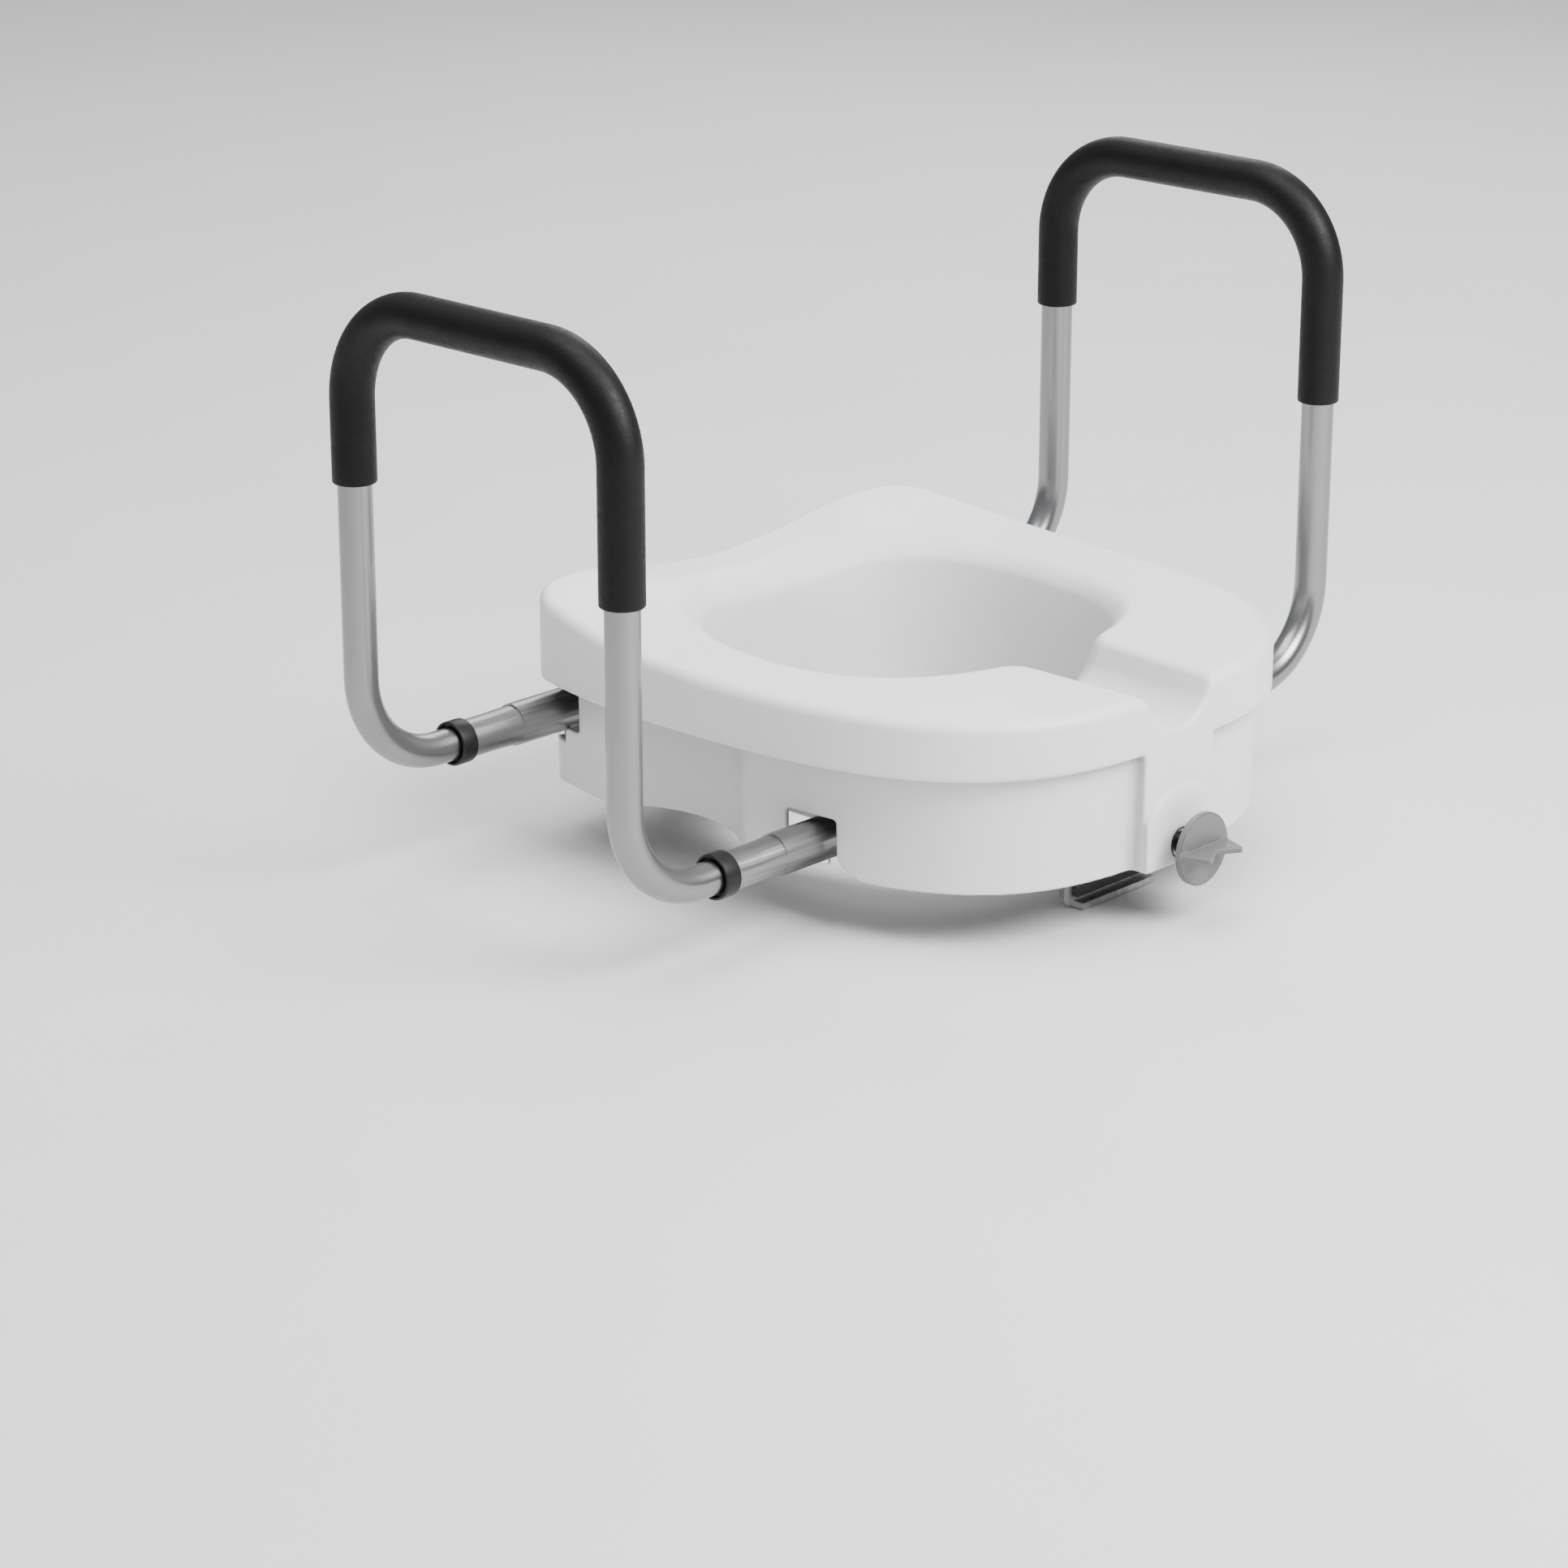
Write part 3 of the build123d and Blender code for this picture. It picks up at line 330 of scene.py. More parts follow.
def receiver_field(x, y, z):
    """Room for the receivers, the screw bushing and the reach of a fingertip to the rear buttons."""
    holes = []
    across = np.abs(x)
    for leg in LEGS.values():
        tall = np.maximum(np.abs(z - leg["z"]) - RECEIVER_HALF_FLAT, 0)
        hole = np.hypot(y - leg["y"], tall) - RECEIVER_RADIUS
        holes.append(np.maximum(hole, RECEIVER_INNER_X - across))
        access = np.hypot(across - BUTTON_X, y - leg["y"]) - BUTTON_ACCESS_RADIUS
        depth = np.abs(z - leg["z"] + BUTTON_ACCESS_DEPTH / 2) - BUTTON_ACCESS_DEPTH / 2
        holes.append(np.maximum(access, depth))
    bushing = np.hypot(x, z - SCREW_Z) - BUSHING_RADIUS
    holes.append(np.maximum(bushing, y + 200.0))
    return np.minimum.reduce(np.broadcast_arrays(*holes))


def rib_field(x, y, z):
    """Ribs, saddles over the receivers and pillars for the rear stops' screws."""
    across = np.abs(x)
    ribs = []
    for rib_y in SIDE_RIB_YS:
        ribs.append(np.maximum(np.abs(y - rib_y), SIDE_RIB_INNER_X - across + RIB_HALF_THICKNESS))
    for rib_x in FRONT_RIB_XS:
        ribs.append(np.maximum(np.abs(across - rib_x), y - FRONT_RIB_REAR_Y + RIB_HALF_THICKNESS))
    ribs.append(np.maximum(np.abs(across - REAR_RIB_X), REAR_RIB_FRONT_Y - y + RIB_HALF_THICKNESS))
    thin = np.minimum.reduce(np.broadcast_arrays(*ribs)) - RIB_HALF_THICKNESS
    solid = [np.maximum(thin, RIB_BOTTOM - z)]
    for leg in LEGS.values():
        for saddle_x in SADDLE_XS:
            slab = np.abs(across - saddle_x) - SADDLE_HALF_THICKNESS
            slab = np.maximum(slab, np.abs(y - leg["y"]) - SADDLE_HALF_WIDTH)
            solid.append(np.maximum(slab, leg["z"] - z))
        boss = np.hypot(across - SADDLE_BOSS_X, y - leg["y"]) - SADDLE_BOSS_RADIUS
        solid.append(np.maximum(boss, leg["z"] - z))
    for pillar_x in STOP_PILLAR_XS:
        pillar = np.hypot(across - pillar_x, y - STOP_PILLAR_Y) - STOP_PILLAR_RADIUS
        solid.append(np.maximum(pillar, STOP_PILLAR_BOTTOM - z))
    return np.minimum.reduce(np.broadcast_arrays(*solid))


def seat_body(x, y, z):
    """The seat as if it were solid, with no lower end."""
    top = z - join_low(curve(y, TOP_SIDE_VIEW), curve(np.abs(x), TOP_REAR_VIEW), 4.0)
    band = edge(seat_plan(x, y), top, TOP_EDGE_RADIUS)
    band = edge(band, BAND_BOTTOM - z, BAND_BOTTOM_RADIUS)
    skirt = skirt_plan(x, y) - SKIRT_DRAFT * np.minimum(z, BAND_BOTTOM)
    skirt = np.maximum(skirt, top + TOP_EDGE_RADIUS)
    body = join(band, skirt, 1.5)
    beside_panel = np.abs(x) - PANEL_HALF_WIDTH
    fade = PANEL_FADE * smooth_step((z - BAND_BOTTOM) / PANEL_FADE_HEIGHT)
    panel = edge(beside_panel, seat_plan(x, y) - PANEL_PROUD + fade, PANEL_EDGE_RADIUS)
    panel = np.maximum(np.maximum(panel, z - PANEL_TOP), y - PANEL_REAR_Y)
    body = join(body, panel, 1.0 + 2.0 * smooth_step((BAND_BOTTOM - z) / 8.0))
    boss = edge(np.hypot(x, z - SCREW_Z) - BOSS_RADIUS, BOSS_FRONT_Y - y, BOSS_EDGE_RADIUS)
    boss = edge(np.maximum(boss, y - BOSS_REAR_Y), beside_panel, 1.0)
    body = join(body, boss, 1.0)
    across = np.abs(x)
    pocket = np.hypot(y - LEGS["rear"]["y"], z - LEGS["rear"]["z"]) - POCKET_RADIUS
    ends = np.maximum(POCKET_INNER_X - across, across - POCKET_OUTER_X)
    body = join(body, edge(pocket, ends, POCKET_END_RADIUS), 2.0)
    void = join(bowl_field(x, y, z), channel_field(x, y, z), CHANNEL_BLEND)
    rim = RIM_RADIUS + (REAR_RIM_RADIUS - RIM_RADIUS) * smooth_step((y - 60.0) / 80.0)
    rim = CHANNEL_RIM_RADIUS + (rim - CHANNEL_RIM_RADIUS) * smooth_step((y + 150.0) / 70.0)
    rim = LOWER_RIM_RADIUS + (rim - LOWER_RIM_RADIUS) * smooth_step((z - 30.0) / 55.0)
    return edge(body, -void, rim)


def join_low(a, b, width):
    """The lower of two heights, blended where they meet."""
    share = np.maximum(width - np.abs(a - b), 0) / width
    return np.minimum(a, b) - share * share * width / 4


def seat_field(x, y, z):
    """The moulded seat: an open-bottomed shell with ribs, notches and holes."""
    body = seat_body(x, y, z)
    hollow = body + WALL
    hollow = np.maximum(hollow, PANEL_INNER_Y - y)
    hollow = np.maximum(hollow, -rib_field(x, y, z))
    shell = edge(body, -hollow, 0.6)
    shell = edge(shell, -z, 0.8)
    shell = edge(shell, -notch_field(x, y, z), 1.2)
    return edge(shell, -receiver_field(x, y, z), 0.5)


def knob_field(x, y, z):
    """Round plate with a butterfly wing across its face."""
    high = z - SCREW_Z
    from_axis = np.hypot(x, high)
    plate = edge(
        from_axis - KNOB_RADIUS, np.maximum(y - KNOB_BACK_Y, KNOB_FRONT_Y - y), KNOB_EDGE_RADIUS
    )
    across = np.hypot(x, WING_NOTCH_RADIUS)
    tip = (WING_TIP_X, WING_TIP_Y)
    flank = beyond(across, y, tip, (WING_SHOULDER_X, KNOB_FRONT_Y))
    notch = beyond(across, y, (0.0, WING_NOTCH_Y), tip)
    outline = np.maximum(edge(flank, notch, WING_CORNER_RADIUS), y - KNOB_BACK_Y - 1.0)
    wing = edge(outline, np.abs(high) - WING_HALF_THICKNESS, KNOB_EDGE_RADIUS)
    knob = join(plate, np.maximum(wing, y - (KNOB_BACK_Y + KNOB_FRONT_Y) / 2), WING_ROOT_RADIUS)
    bore = np.maximum(from_axis - SCREW_RADIUS, SCREW_FRONT_Y - y)
    return np.maximum(knob, -bore)


# ---- meshes -------------------------------------------------------------------------------------
def gradient(field, points, step):
    """Slope of a field at points."""
    slopes = []
    for axis in range(3):
        offset = np.zeros(3)
        offset[axis] = step
        slopes.append(field(*(points + offset).T) - field(*(points - offset).T))
    return np.stack(slopes, axis=1) / (2 * step)


def surface_of(field, low, high, step):
    """Points and quads of the closed surface where a field is zero; the field is even in x.

    One point is put in every grid cell that the surface crosses, then moved onto the surface. Only cells
    with x above -step / 2 are worked out. The first layer of cells lies across x = 0 and joins the halves.
    """
    starts = (-step / 2, low[1], low[2])
    axes = [np.arange(a, b + step, step, dtype=np.float32) for a, b in zip(starts, high)]
    values = field(*np.meshgrid(*axes, indexing="ij", sparse=True))
    inside = values < 0
    cells = [n - 1 for n in values.shape]
    rings = []
    crossings = []
    for axis in range(3):
        near = tuple(slice(0, -1) if a == axis else slice(None) for a in range(3))
        far = tuple(slice(1, None) if a == axis else slice(None) for a in range(3))
        start = np.argwhere(inside[near] != inside[far])
        start = start[start[:, 0] > 0]
        end = start.copy()
        end[:, axis] += 1
        first, last = values[tuple(start.T)], values[tuple(end.T)]
        place = np.stack([axes[a][start[:, a]] for a in range(3)], axis=1)
        place[:, axis] += step * np.clip(first / (first - last), 0.1, 0.9)
        b, c = (axis + 1) % 3, (axis + 2) % 3
        ring = []
        for shift_b, shift_c in ((1, 1), (0, 1), (0, 0), (1, 0)):
            cell = start.copy()
            cell[:, b] -= shift_b
            cell[:, c] -= shift_c
            ring.append(np.ravel_multi_index(cell.T, cells))
        ring = np.stack(ring, axis=1)
        ring[first > 0] = ring[first > 0][:, ::-1]
        rings.append(ring)
        crossings.append(np.repeat(place, 4, axis=0))
    rings = np.concatenate(rings)
    crossings = np.concatenate(crossings)
    used, index = np.unique(rings.ravel(), return_inverse=True)
    count = np.bincount(index)
    points = np.stack([np.bincount(index, crossings[:, a]) / count for a in range(3)], axis=1)
    seam = used < cells[1] * cells[2]
    points[seam, 0] = 0.0
    for _ in range(4):
        slope = gradient(field, points, step / 8)
        length = np.maximum((slope ** 2).sum(axis=1), 0.2)
        move = field(*points.T) / length
        points = points - slope * np.clip(move, -step / 2, step / 2)[:, None]
    quads = index.reshape(-1, 4)
    mirrored = np.arange(len(points))
    mirrored[~seam] = len(points) + np.arange((~seam).sum())
    points = np.concatenate([points, points[~seam] * (-1, 1, 1)])
    return points, np.concatenate([quads, mirrored[quads][:, ::-1]])


def add_mesh(name, points, faces, slot, grain=None):
    """A smooth-shaded mesh object, from points in millimetres."""
    mesh = bpy.data.meshes.new(name)
    mesh.from_pydata((points * MM).tolist(), [], faces.tolist())
    mesh.polygons.foreach_set("use_smooth", [True] * len(mesh.polygons))
    if grain is not None:
        layer = mesh.attributes.new("grain", "FLOAT_VECTOR", "POINT")
        layer.data.foreach_set("vector", (grain * MM).ravel())
    mesh.update()
    piece = bpy.data.objects.new(name, mesh)
    bpy.context.scene.collection.objects.link(piece)
    mesh.materials.append(MATERIALS[slot])
    return piece


def path_along(corners, radius, bend_steps=20, spacing=6.0):
    """Points and lengths along a path of straight runs joined by round bends."""
    corners = [np.array(c, float) for c in corners]
    points = [corners[0]]
    for before, corner, after in zip(corners, corners[1:], corners[2:]):
        back = (before - corner) / np.linalg.norm(before - corner)
        ahead = (after - corner) / np.linalg.norm(after - corner)
        centre = corner + radius * (back + ahead)
        for step in range(bend_steps + 1):
            angle = math.pi / 2 * step / bend_steps
            points.append(centre - radius * (ahead * math.cos(angle) + back * math.sin(angle)))
    points.append(corners[-1])
    filled = [points[0]]
    for start, end in zip(points, points[1:]):
        parts = max(1, int(np.linalg.norm(end - start) / spacing))
        for part in range(1, parts + 1):
            filled.append(start + (end - start) * part / parts)
    return np.array(filled)


def frames_along(points):
    """Two directions square to the path at every point, with no twist."""
    tangents = np.gradient(points, axis=0)
    tangents /= np.linalg.norm(tangents, axis=1)[:, None]
    helper = np.array([0.0, 0.0, 1.0]) if abs(tangents[0][2]) < 0.9 else np.array([0.0, 1.0, 0.0])
    sides = []
    side = np.cross(tangents[0], helper)
    for tangent in tangents:
        side = side - tangent * side.dot(tangent)
        side = side / np.linalg.norm(side)
        sides.append(side)
    sides = np.array(sides)
    return sides, np.cross(tangents, sides), tangents


def ring_mesh(name, stations, slot, around=48):
    """A closed ring-shaped surface. Each station is (centre, side, up, radius, length along)."""
    angles = np.arange(around) * 2 * math.pi / around
    points = []
    grain = []
    for centre, side, up, radius, along in stations:
        spread = np.outer(np.cos(angles), side) + np.outer(np.sin(angles), up)
        points.append(centre + radius * spread)
        flat = np.stack([np.cos(angles) * radius, np.sin(angles) * radius, np.full(around, along)], axis=1)
        grain.append(flat)
    count = len(stations)
    here = np.arange(count)[:, None] * around + np.arange(around)
    beside = np.roll(here, -1, axis=1)
    ahead = np.roll(here, -1, axis=0)
    corner = np.roll(beside, -1, axis=0)
    faces = np.stack([here, beside, corner, ahead], axis=-1).reshape(-1, 4)
    return add_mesh(name, np.concatenate(points), faces, slot, np.concatenate(grain))


def sleeve(name, points, outer, inner, edge_radius, slot, around=48):
    """A tube of material along a path, with rounded ends."""
    sides, ups, tangents = frames_along(points)
    lengths = np.concatenate([[0], np.cumsum(np.linalg.norm(np.diff(points, axis=0), axis=1))])
    stations = []
    steps = 5
    rounding = [math.pi / 2 * s / steps for s in range(steps + 1)]
    for angle in rounding:
        place = points[0] + tangents[0] * edge_radius * (1 - math.cos(angle))
        radius = outer - edge_radius * (1 - math.sin(angle))
        stations.append((place, sides[0], ups[0], radius, edge_radius * (1 - math.cos(angle))))
    for i in range(1, len(points) - 1):
        stations.append((points[i], sides[i], ups[i], outer, lengths[i]))
    for angle in reversed(rounding):
        back = edge_radius * (1 - math.cos(angle))
        radius = outer - edge_radius * (1 - math.sin(angle))
        stations.append((points[-1] - tangents[-1] * back, sides[-1], ups[-1], radius, lengths[-1] - back))
    for i in range(len(points) - 1, -1, -1):
        stations.append((points[i], sides[i], ups[i], inner, lengths[i]))
    return ring_mesh(name, stations, slot, around)


# ---- materials ----------------------------------------------------------------------------------
# how far, in metres, the painted shade looks for the plastic's own walls around a hollow
PAINTED_SHADE_DISTANCE = 0.25


class Nodes:
    """A material's node tree, with short calls to add and link nodes."""

    def __init__(self, name):
        self.material = bpy.data.materials.new(name)
        self.material.use_nodes = True
        self.tree = self.material.node_tree
        self.surface = self.tree.nodes["Principled BSDF"]

    def add(self, kind, inputs=(), **settings):
        """A new node; inputs are (name or number, value or socket)."""
        node = self.tree.nodes.new(kind)
        for key, value in settings.items():
            setattr(node, key, value)
        for key, value in inputs:
            self.put(node.inputs[key], value)
        return node

    def put(self, socket, value):
        """Link a socket, or set its value."""
        if isinstance(value, bpy.types.NodeSocket):
            self.tree.links.new(value, socket)
        else:
            socket.default_value = value

    def place(self, scale, attribute=None):
        """Where the pattern is measured: object coordinates, or a mesh attribute, scaled."""
        if attribute:
            source = self.add("ShaderNodeAttribute", attribute_name=attribute).outputs["Vector"]
        else:
            source = self.add("ShaderNodeTexCoord").outputs["Object"]
        mapping = self.add("ShaderNodeMapping", [("Vector", source), ("Scale", scale)])
        return mapping.outputs["Vector"]

    def noise(self, vector, scale, detail=4.0, roughness=0.55):
        """Noise from 0 to 1."""
        inputs = [("Vector", vector), ("Scale", scale), ("Detail", detail), ("Roughness", roughness)]
        return self.add("ShaderNodeTexNoise", inputs).outputs["Fac"]

    def ramp(self, value, low, high, start=0.3, end=0.7):
        """Value turned from low to high between start and end."""
        inputs = [("Value", value), ("From Min", start), ("From Max", end), ("To Min", low), ("To Max", high)]
        return self.add("ShaderNodeMapRange", inputs).outputs["Result"]

    def mix(self, share, first, second):
        """Colour between two colours."""
        node = self.add("ShaderNodeMix", data_type="RGBA")
        self.put(node.inputs[0], share)
        self.put(node.inputs[6], first)
        self.put(node.inputs[7], second)
        return node.outputs[2]

    def bump(self, height, strength, distance, normal=None):
        """Bump of a height, on top of another bump if given."""
        inputs = [("Height", height), ("Strength", strength), ("Distance", distance)]
        if normal is not None:
            inputs.append(("Normal", normal))
        return self.add("ShaderNodeBump", inputs).outputs["Normal"]

    def finish(self, **inputs):
        """Set the surface's inputs; underscores stand for spaces."""
        for key, value in inputs.items():
            self.put(self.surface.inputs[key.replace("_", " ")], value)
        return self.material


def grey(value, warmth=0.0):
    """A grey colour; warmth tints it towards yellow."""
    return (value * (1 + warmth), value, value * (1 - 1.5 * warmth), 1.0)


def moulded_plastic(name, dark, light, roughness, grain_depth, specular=0.5, edges=None, painted_shade=None):
    """Plastic with a fine moulded grain, slow colour drift and slightly uneven gloss.

    If given, edges is the colour of sharp outer edges, and the shade colour is painted shade in deep places.
    """
    nodes = Nodes(name)
    place = nodes.place((1, 1, 1))
    drift = nodes.noise(place, 9.0, 3.0)
    colour = nodes.mix(nodes.ramp(drift, 0.0, 1.0), dark, light)
    if edges:
        pointed = nodes.add("ShaderNodeNewGeometry").outputs["Pointiness"]
        colour = nodes.mix(nodes.ramp(pointed, 0.0, 1.0, 0.53, 0.62), colour, edges)
    # painted shade: ambient occlusion from the object's own walls darkens the colour in the bowl, the
    # channel, the notches and inside the shell
    if painted_shade:
        shade_occlusion = nodes.add(
            "ShaderNodeAmbientOcclusion", [("Distance", PAINTED_SHADE_DISTANCE)], samples=8, only_local=True
        )
        colour = nodes.mix(nodes.ramp(shade_occlusion.outputs["AO"], 0.0, 1.0, 0.2, 0.95), painted_shade, colour)
    gloss = nodes.ramp(nodes.noise(place, 160.0, 3.0), roughness - 0.04, roughness + 0.05)
    waves = nodes.bump(nodes.noise(place, 24.0, 2.0), 0.15, 0.0012)
    grain = nodes.bump(nodes.noise(place, 1500.0, 2.0), grain_depth, 0.0004, waves)
    return nodes.finish(Base_Color=colour, Roughness=gloss, Normal=grain, Specular_IOR_Level=specular)


def drawn_aluminium(name, dark, light, roughness, streaks, attribute=None):
    """Satin aluminium with streaks along the drawing direction."""
    nodes = Nodes(name)
    place = nodes.place(streaks, attribute)
    streak = nodes.noise(place, 1.0, 5.0, 0.6)
    fine = nodes.noise(place, 4.0, 3.0, 0.6)
    colour = nodes.mix(nodes.ramp(streak, 0.0, 1.0), dark, light)
    gloss = nodes.ramp(fine, roughness - 0.07, roughness + 0.09)
    lines = nodes.bump(fine, 0.10, 0.0002)
    return nodes.finish(
        Base_Color=colour, Roughness=gloss, Normal=lines, Metallic=1.0, Anisotropic=0.35
    )


def plated_steel(name, dark, light, roughness, metallic=1.0):
    """Plated steel with faint crystals and handling marks."""
    nodes = Nodes(name)
    place = nodes.place((1, 1, 1))
    cells = nodes.add("ShaderNodeTexVoronoi", [("Vector", place), ("Scale", 260.0)]).outputs["Color"]
    cell = nodes.add("ShaderNodeSeparateColor", [("Color", cells)]).outputs[0]
    marks = nodes.noise(place, 90.0, 6.0, 0.65)
    share = nodes.add("ShaderNodeMath", [(0, cell), (1, marks)], operation="MULTIPLY").outputs[0]
    colour = nodes.mix(nodes.ramp(share, 0.0, 1.0, 0.05, 0.6), dark, light)
    gloss = nodes.ramp(marks, roughness - 0.06, roughness + 0.1)
    return nodes.finish(
        Base_Color=colour, Roughness=gloss, Metallic=metallic, Normal=nodes.bump(marks, 0.06, 0.0003)
    )


def foam(name):
    """Black closed-cell foam: skinned, with pores too small to see one by one."""
    nodes = Nodes(name)
    place = nodes.place((1, 1, 1))
    pores = nodes.add("ShaderNodeTexVoronoi", [("Vector", place), ("Scale", 1300.0)]).outputs["Distance"]
    soft = nodes.noise(place, 60.0, 4.0)
    colour = nodes.mix(nodes.ramp(soft, 0.0, 1.0), grey(0.0015), grey(0.003))
    waves = nodes.bump(soft, 0.25, 0.0008)
    surface = nodes.bump(pores, 0.35, 0.00025, waves)
    gloss = nodes.ramp(nodes.noise(place, 300.0, 3.0), 0.42, 0.56)
    return nodes.finish(Base_Color=colour, Roughness=gloss, Normal=surface, Specular_IOR_Level=0.22)


def rubber(name):
    """Matt rubber with a fine speckle."""
    nodes = Nodes(name)
    place = nodes.place((1, 1, 1))
    speckle = nodes.noise(place, 700.0, 3.0)
    colour = nodes.mix(nodes.ramp(speckle, 0.0, 1.0), grey(0.025), grey(0.05))
    return nodes.finish(Base_Color=colour, Roughness=0.75, Normal=nodes.bump(speckle, 0.3, 0.0003))


MATERIALS = {
    "shell_plastic": moulded_plastic(
        "shell_plastic",
        grey(0.76, 0.012),
        grey(0.81, 0.010),
        0.42,
        0.10,
        edges=grey(0.85, 0.008),
        # painted shade: dark grey laid by ambient occlusion into the bowl, channel, notches and the inside of
        # the shell
        painted_shade=grey(0.30, 0.015),
    ),
    "arm_aluminium": drawn_aluminium(
        "arm_aluminium", grey(0.22), grey(0.33), 0.27, (320, 320, 5), "grain"
    ),
    "receiver_aluminium": drawn_aluminium(
        "receiver_aluminium", grey(0.25), grey(0.36), 0.33, (5, 320, 320)
    ),
    "grip_foam": foam("grip_foam"),
    "collar_plastic": moulded_plastic("collar_plastic", grey(0.004), grey(0.007), 0.42, 0.2, 0.3),
    "knob_plastic": moulded_plastic(
        "knob_plastic", grey(0.125), grey(0.15), 0.40, 0.12, edges=grey(0.21)
    ),
    "screw_black": plated_steel("screw_black", grey(0.012), grey(0.035), 0.38, 0.8),
    "zinc_steel": plated_steel("zinc_steel", grey(0.50), grey(0.68), 0.32),
    "button_steel": plated_steel("button_steel", grey(0.75), grey(0.88), 0.16),
    "bushing_nylon": moulded_plastic("bushing_nylon", grey(0.02), grey(0.035), 0.5, 0.15),
    "pad_rubber": rubber("pad_rubber"),
}


# ---- pieces -------------------------------------------------------------------------------------
def make_seat():
    """The moulded seat shell."""
    low = (-SEAT_HALF_WIDTH - 4.3, SEAT_FRONT_Y - 12.7, -4.6)
    high = (SEAT_HALF_WIDTH + 5, SEAT_REAR_Y + 5, 146)
    points, quads = surface_of(seat_field, low, high, SEAT_STEP)
    seat = add_mesh("moulded_seat", points, quads, "shell_plastic")
    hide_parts("seat_shell")
    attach(seat, "seat")


def make_arm(side_name, side):
    """One arm: a bent tube with a button hole in each insert, and a foam grip."""
    front, rear = LEGS["front"], LEGS["rear"]
    x = side * ARM_X
    corners = [
        (side * ARM_INNER_X, front["y"], front["z"]),
        (x, front["y"], front["z"]),
        (x, front["y"], ARM_TOP_Z),
        (x, rear["y"], ARM_TOP_Z),
        (x, rear["y"], rear["z"]),
        (side * ARM_INNER_X, rear["y"], rear["z"]),
    ]
    path = path_along(corners, ARM_BEND_RADIUS)
    tube = sleeve(
        f"bent_tube_{side_name}", path, ARM_TUBE_RADIUS, ARM_TUBE_INNER_RADIUS, 0.4, "arm_aluminium"
    )
    for leg in LEGS.values():
        cut_button_hole(tube, side * BUTTON_X, leg)
    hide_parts(f"arm_tube_{side_name}")
    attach(tube, f"arm_{side_name}")

    grip_corners = [
        (x, front["y"], front["grip_end"]),
        (x, front["y"], ARM_TOP_Z),
        (x, rear["y"], ARM_TOP_Z),
        (x, rear["y"], rear["grip_end"]),
    ]
    grip = sleeve(
        f"foam_grip_{side_name}",
        path_along(grip_corners, ARM_BEND_RADIUS),
        GRIP_RADIUS,
        GRIP_INNER_RADIUS,
        GRIP_EDGE_RADIUS,
        "grip_foam",
    )
    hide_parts(f"grip_{side_name}")
    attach(grip, f"arm_{side_name}")


def cut_button_hole(tube, x, leg):
    """Drill the round hole for a snap button through a tube's underside."""
    low = np.array((x, leg["y"], leg["z"] - 2 * ARM_TUBE_RADIUS))
    drill_mesh = bpy.data.meshes.new("drill")
    around = 24
    points = []
    for height in (0.0, 2 * ARM_TUBE_RADIUS):
        for i in range(around):
            angle = 2 * math.pi * i / around
            offset = (math.cos(angle) * BUTTON_HOLE_RADIUS, math.sin(angle) * BUTTON_HOLE_RADIUS, height)
            points.append(tuple((low + np.array(offset)) * MM))
    faces = [list(range(around))[::-1], list(range(around, 2 * around))]
    for i in range(around):
        after = (i + 1) % around
        faces.append([i, after, after + around, i + around])
    drill_mesh.from_pydata(points, [], faces)
    drill = bpy.data.objects.new("drill", drill_mesh)
    bpy.context.scene.collection.objects.link(drill)
    cut = tube.modifiers.new("button_hole", "BOOLEAN")
    cut.object = drill
    cut.operation = "DIFFERENCE"
    cut.solver = "EXACT"
    bpy.context.view_layer.update()
    drilled = bpy.data.meshes.new_from_object(tube.evaluated_get(bpy.context.evaluated_depsgraph_get()))
    tube.modifiers.clear()
    tube.data = drilled
    bpy.data.objects.remove(drill)


def make_collar(name, side, leg):
    """Black cap on a receiver's open end, with a recessed mouth."""
    r = COLLAR_EDGE_RADIUS
    profile = []
    steps = 4
    for step in range(steps + 1):
        angle = math.pi / 2 * step / steps
        profile.append((COLLAR_INNER_X + r - r * math.cos(angle), COLLAR_RADIUS - r + r * math.sin(angle)))
    for step in range(steps + 1):
        angle = math.pi / 2 * step / steps
        profile.append((COLLAR_OUTER_X - r + r * math.sin(angle), COLLAR_RADIUS - r + r * math.cos(angle)))
    profile += [
        (COLLAR_OUTER_X, COLLAR_MOUTH_RADIUS + 0.3),
        (COLLAR_OUTER_X - 0.3, COLLAR_MOUTH_RADIUS),
        (COLLAR_WEB_X + 0.3, COLLAR_MOUTH_RADIUS),
        (COLLAR_WEB_X, COLLAR_MOUTH_RADIUS - 0.3),
        (COLLAR_WEB_X, COLLAR_BORE_RADIUS + 0.2),
        (COLLAR_WEB_X - 0.2, COLLAR_BORE_RADIUS),
        (COLLAR_WEB_INNER_X, COLLAR_BORE_RADIUS),
        (COLLAR_WEB_INNER_X, COLLAR_SOCKET_RADIUS),
        (COLLAR_INNER_X, COLLAR_SOCKET_RADIUS),
    ]
    stations = []
    for x, radius in profile:
        centre = np.array((side * x, leg["y"], leg["z"]))
        stations.append((centre, np.array((0.0, side, 0.0)), np.array((0.0, 0.0, 1.0)), radius, x))
    piece = ring_mesh(f"moulded_{name}", stations, "collar_plastic")
    shade_by_angle(piece)
    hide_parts(name)
    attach(piece, "seat")


def shade_by_angle(piece, degrees=35):
    """Smooth shading, with crisp edges where faces meet at more than an angle."""
    with bpy.context.temp_override(object=piece, selected_editable_objects=[piece], active_object=piece):
        bpy.ops.object.shade_smooth_by_angle(angle=math.radians(degrees))


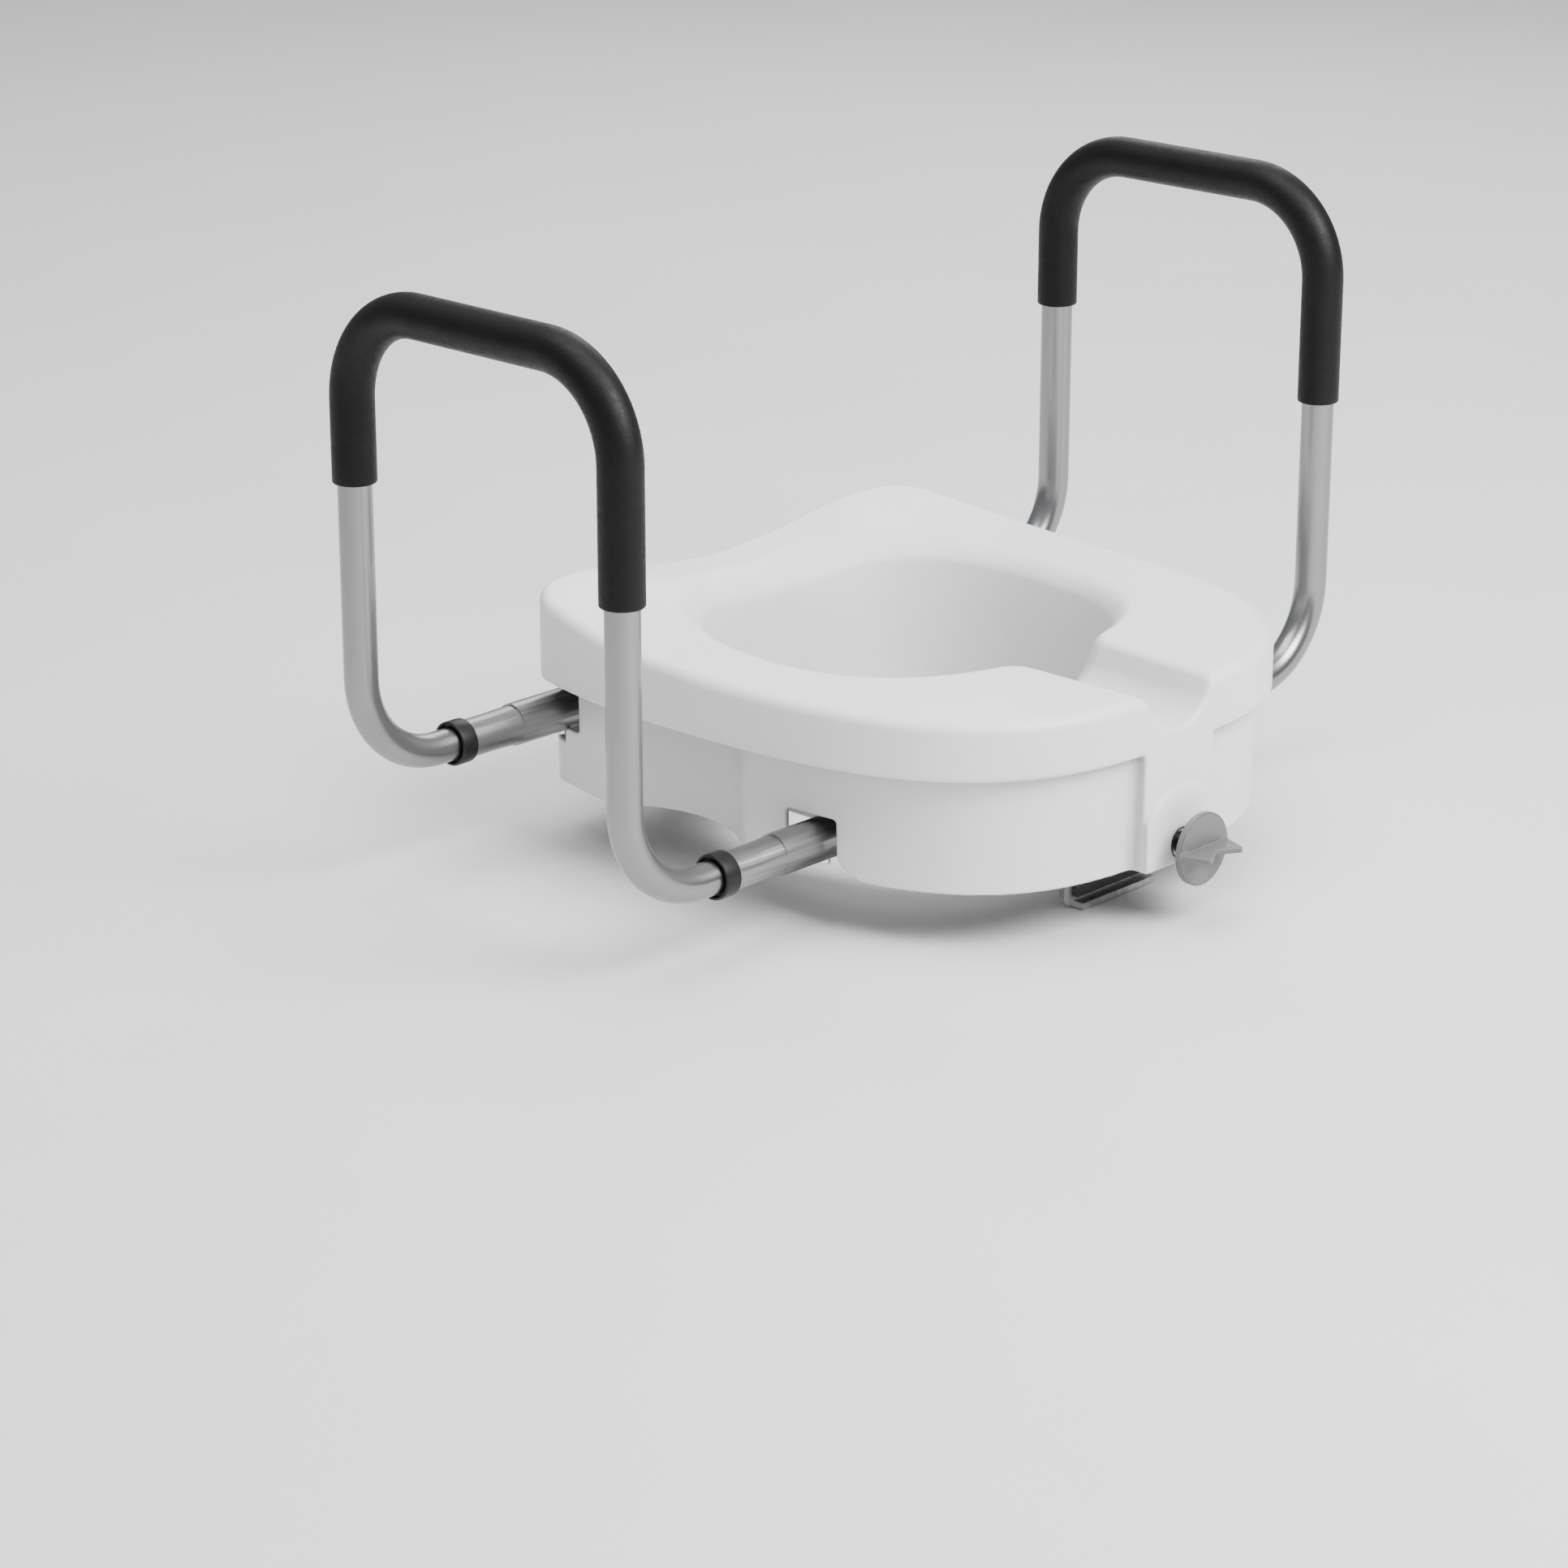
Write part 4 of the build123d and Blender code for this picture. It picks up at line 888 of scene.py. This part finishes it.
def make_screw():
    """The clamp screw, with a real helical thread."""
    around = 36
    per_turn = 12
    start, end = SCREW_FRONT_Y, SCREW_REAR_Y
    chamfer = 1.5
    count = int((end - start) / THREAD_PITCH * per_turn)
    ys = start + (end - start) * np.arange(count + 1) / count
    angles = np.arange(around) * 2 * math.pi / around
    turn = (ys[:, None] / THREAD_PITCH - angles / (2 * math.pi)) % 1.0
    groove = smooth_step(np.abs(turn - 0.5) * 2 * 1.25 - 0.12)
    near_end = np.clip((end - ys) / chamfer, 0, 1)[:, None]
    radius = SCREW_RADIUS - THREAD_DEPTH * groove
    radius = np.minimum(radius, SCREW_RADIUS - chamfer * (1 - near_end))
    x = radius * np.cos(angles)
    z = SCREW_Z + radius * np.sin(angles)
    y = np.repeat(ys[:, None], around, axis=1)
    points = np.stack([x, y, z], axis=-1).reshape(-1, 3)
    points = np.concatenate([points, [(0, start, SCREW_Z), (0, end, SCREW_Z)]])
    here = np.arange(count)[:, None] * around + np.arange(around)
    beside = np.arange(count)[:, None] * around + (np.arange(around) + 1) % around
    quads = np.stack([here, here + around, beside + around, beside], axis=-1).reshape(-1, 4)
    faces = quads.tolist()
    last = count * around
    for i in range(around):
        after = (i + 1) % around
        faces.append([len(points) - 2, i, after])
        faces.append([len(points) - 1, last + after, last + i])
    mesh = bpy.data.meshes.new("threaded_screw")
    mesh.from_pydata((points * MM).tolist(), [], faces)
    mesh.polygons.foreach_set("use_smooth", [True] * len(mesh.polygons))
    mesh.materials.append(MATERIALS["screw_black"])
    screw = bpy.data.objects.new("threaded_screw", mesh)
    bpy.context.scene.collection.objects.link(screw)
    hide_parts("clamp_screw")
    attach(screw, "clamp_turn")


def make_knob():
    """The wing knob."""
    low = (-KNOB_RADIUS - 2, WING_TIP_Y - 2, SCREW_Z - KNOB_RADIUS - 2)
    high = (KNOB_RADIUS + 2, KNOB_BACK_Y + 2, SCREW_Z + KNOB_RADIUS + 2)
    points, quads = surface_of(knob_field, low, high, KNOB_STEP)
    knob = add_mesh("wing_knob", points, quads, "knob_plastic")
    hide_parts("knob")
    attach(knob, "clamp_turn")


def finish_cad_nodes():
    """The remaining CAD nodes keep their shapes and take their slots' materials."""
    slots = {part["node"]: part["material_slot"] for part in frame["record"]["subparts"]}
    for name, node in frame["nodes"].items():
        node.data.materials.clear()
        node.data.materials.append(MATERIALS[slots[name]])


# ---- studio: metres -----------------------------------------------------------------------------
# each light: place, width, power
LIGHTS = {
    "key": ((0.3, -2.2, 2.2), 1.8, 185),
    "overhead": ((-0.4, 0.2, 3.0), 2.2, 75),
    "rim": ((2.2, 1.6, 1.8), 1.6, 30),
}
SKY_AT_EYE_LEVEL = 0.32
SKY_OVERHEAD = 0.80
FLOOR_HALF_WIDTH = 8.0
CAMERA_PLACE = (-2.0878, -1.8902, 0.9825)
CAMERA_DOWNWARD_TILT = 19.34
CAMERA_TURN = -46.21
CAMERA_LENS = 102.2


def area_light(name, place, target, size, power):
    """A soft square light aimed at a point."""
    data = bpy.data.lights.new(name, "AREA")
    data.size = size
    data.energy = power
    lamp = bpy.data.objects.new(name, data)
    bpy.context.scene.collection.objects.link(lamp)
    lamp.location = place
    direction = np.array(target) - np.array(place)
    yaw = math.atan2(direction[0], direction[1])
    pitch = math.atan2(direction[2], math.hypot(direction[0], direction[1]))
    lamp.rotation_euler = (math.pi / 2 + pitch, 0, -yaw)


def make_sky():
    """Surroundings that are dim at eye level and bright overhead."""
    world = bpy.data.worlds.new("studio")
    bpy.context.scene.world = world
    world.use_nodes = True
    nodes = world.node_tree.nodes
    links = world.node_tree.links
    height = nodes.new("ShaderNodeSeparateXYZ")
    links.new(nodes.new("ShaderNodeTexCoord").outputs["Generated"], height.inputs[0])
    strength = nodes.new("ShaderNodeMapRange")
    strength.inputs["To Min"].default_value = SKY_AT_EYE_LEVEL
    strength.inputs["To Max"].default_value = SKY_OVERHEAD
    links.new(height.outputs["Z"], strength.inputs["Value"])
    background = nodes["Background"]
    background.inputs["Color"].default_value = (0.95, 0.97, 1.0, 1.0)
    links.new(strength.outputs["Result"], background.inputs["Strength"])


def make_studio():
    """Pale floor, pale surroundings, soft lights and the camera."""
    floor_z = cad_bounds[0][2] - 0.001
    corners = []
    for x, y in ((-1, -1), (1, -1), (1, 1), (-1, 1)):
        corners.append((x * FLOOR_HALF_WIDTH, y * FLOOR_HALF_WIDTH, floor_z))
    nodes = Nodes("floor")
    tone = nodes.noise(nodes.place((1, 1, 1)), 3.0, 3.0)
    nodes.finish(Base_Color=nodes.mix(nodes.ramp(tone, 0.0, 1.0), grey(0.74), grey(0.77)), Roughness=0.6)
    mesh = bpy.data.meshes.new("floor")
    mesh.from_pydata(corners, [], [[0, 1, 2, 3]])
    mesh.materials.append(nodes.material)
    floor = bpy.data.objects.new("floor", mesh)
    bpy.context.scene.collection.objects.link(floor)

    make_sky()
    for name, (place, width, power) in LIGHTS.items():
        area_light(name, place, (0, 0, 0.1), width, power)

    camera_data = bpy.data.cameras.new("camera")
    camera_data.lens = CAMERA_LENS
    camera_data.sensor_width = 36.0
    camera = bpy.data.objects.new("camera", camera_data)
    bpy.context.scene.collection.objects.link(camera)
    camera.location = CAMERA_PLACE
    camera.rotation_euler = (math.radians(90 - CAMERA_DOWNWARD_TILT), 0, math.radians(CAMERA_TURN))
    bpy.context.scene.camera = camera


finish_cad_nodes()
make_seat()
for side_name, side in SIDES.items():
    make_arm(side_name, side)
    for leg_name, leg in LEGS.items():
        make_collar(f"collar_{leg_name}_{side_name}", side, leg)
make_screw()
make_knob()
make_studio()
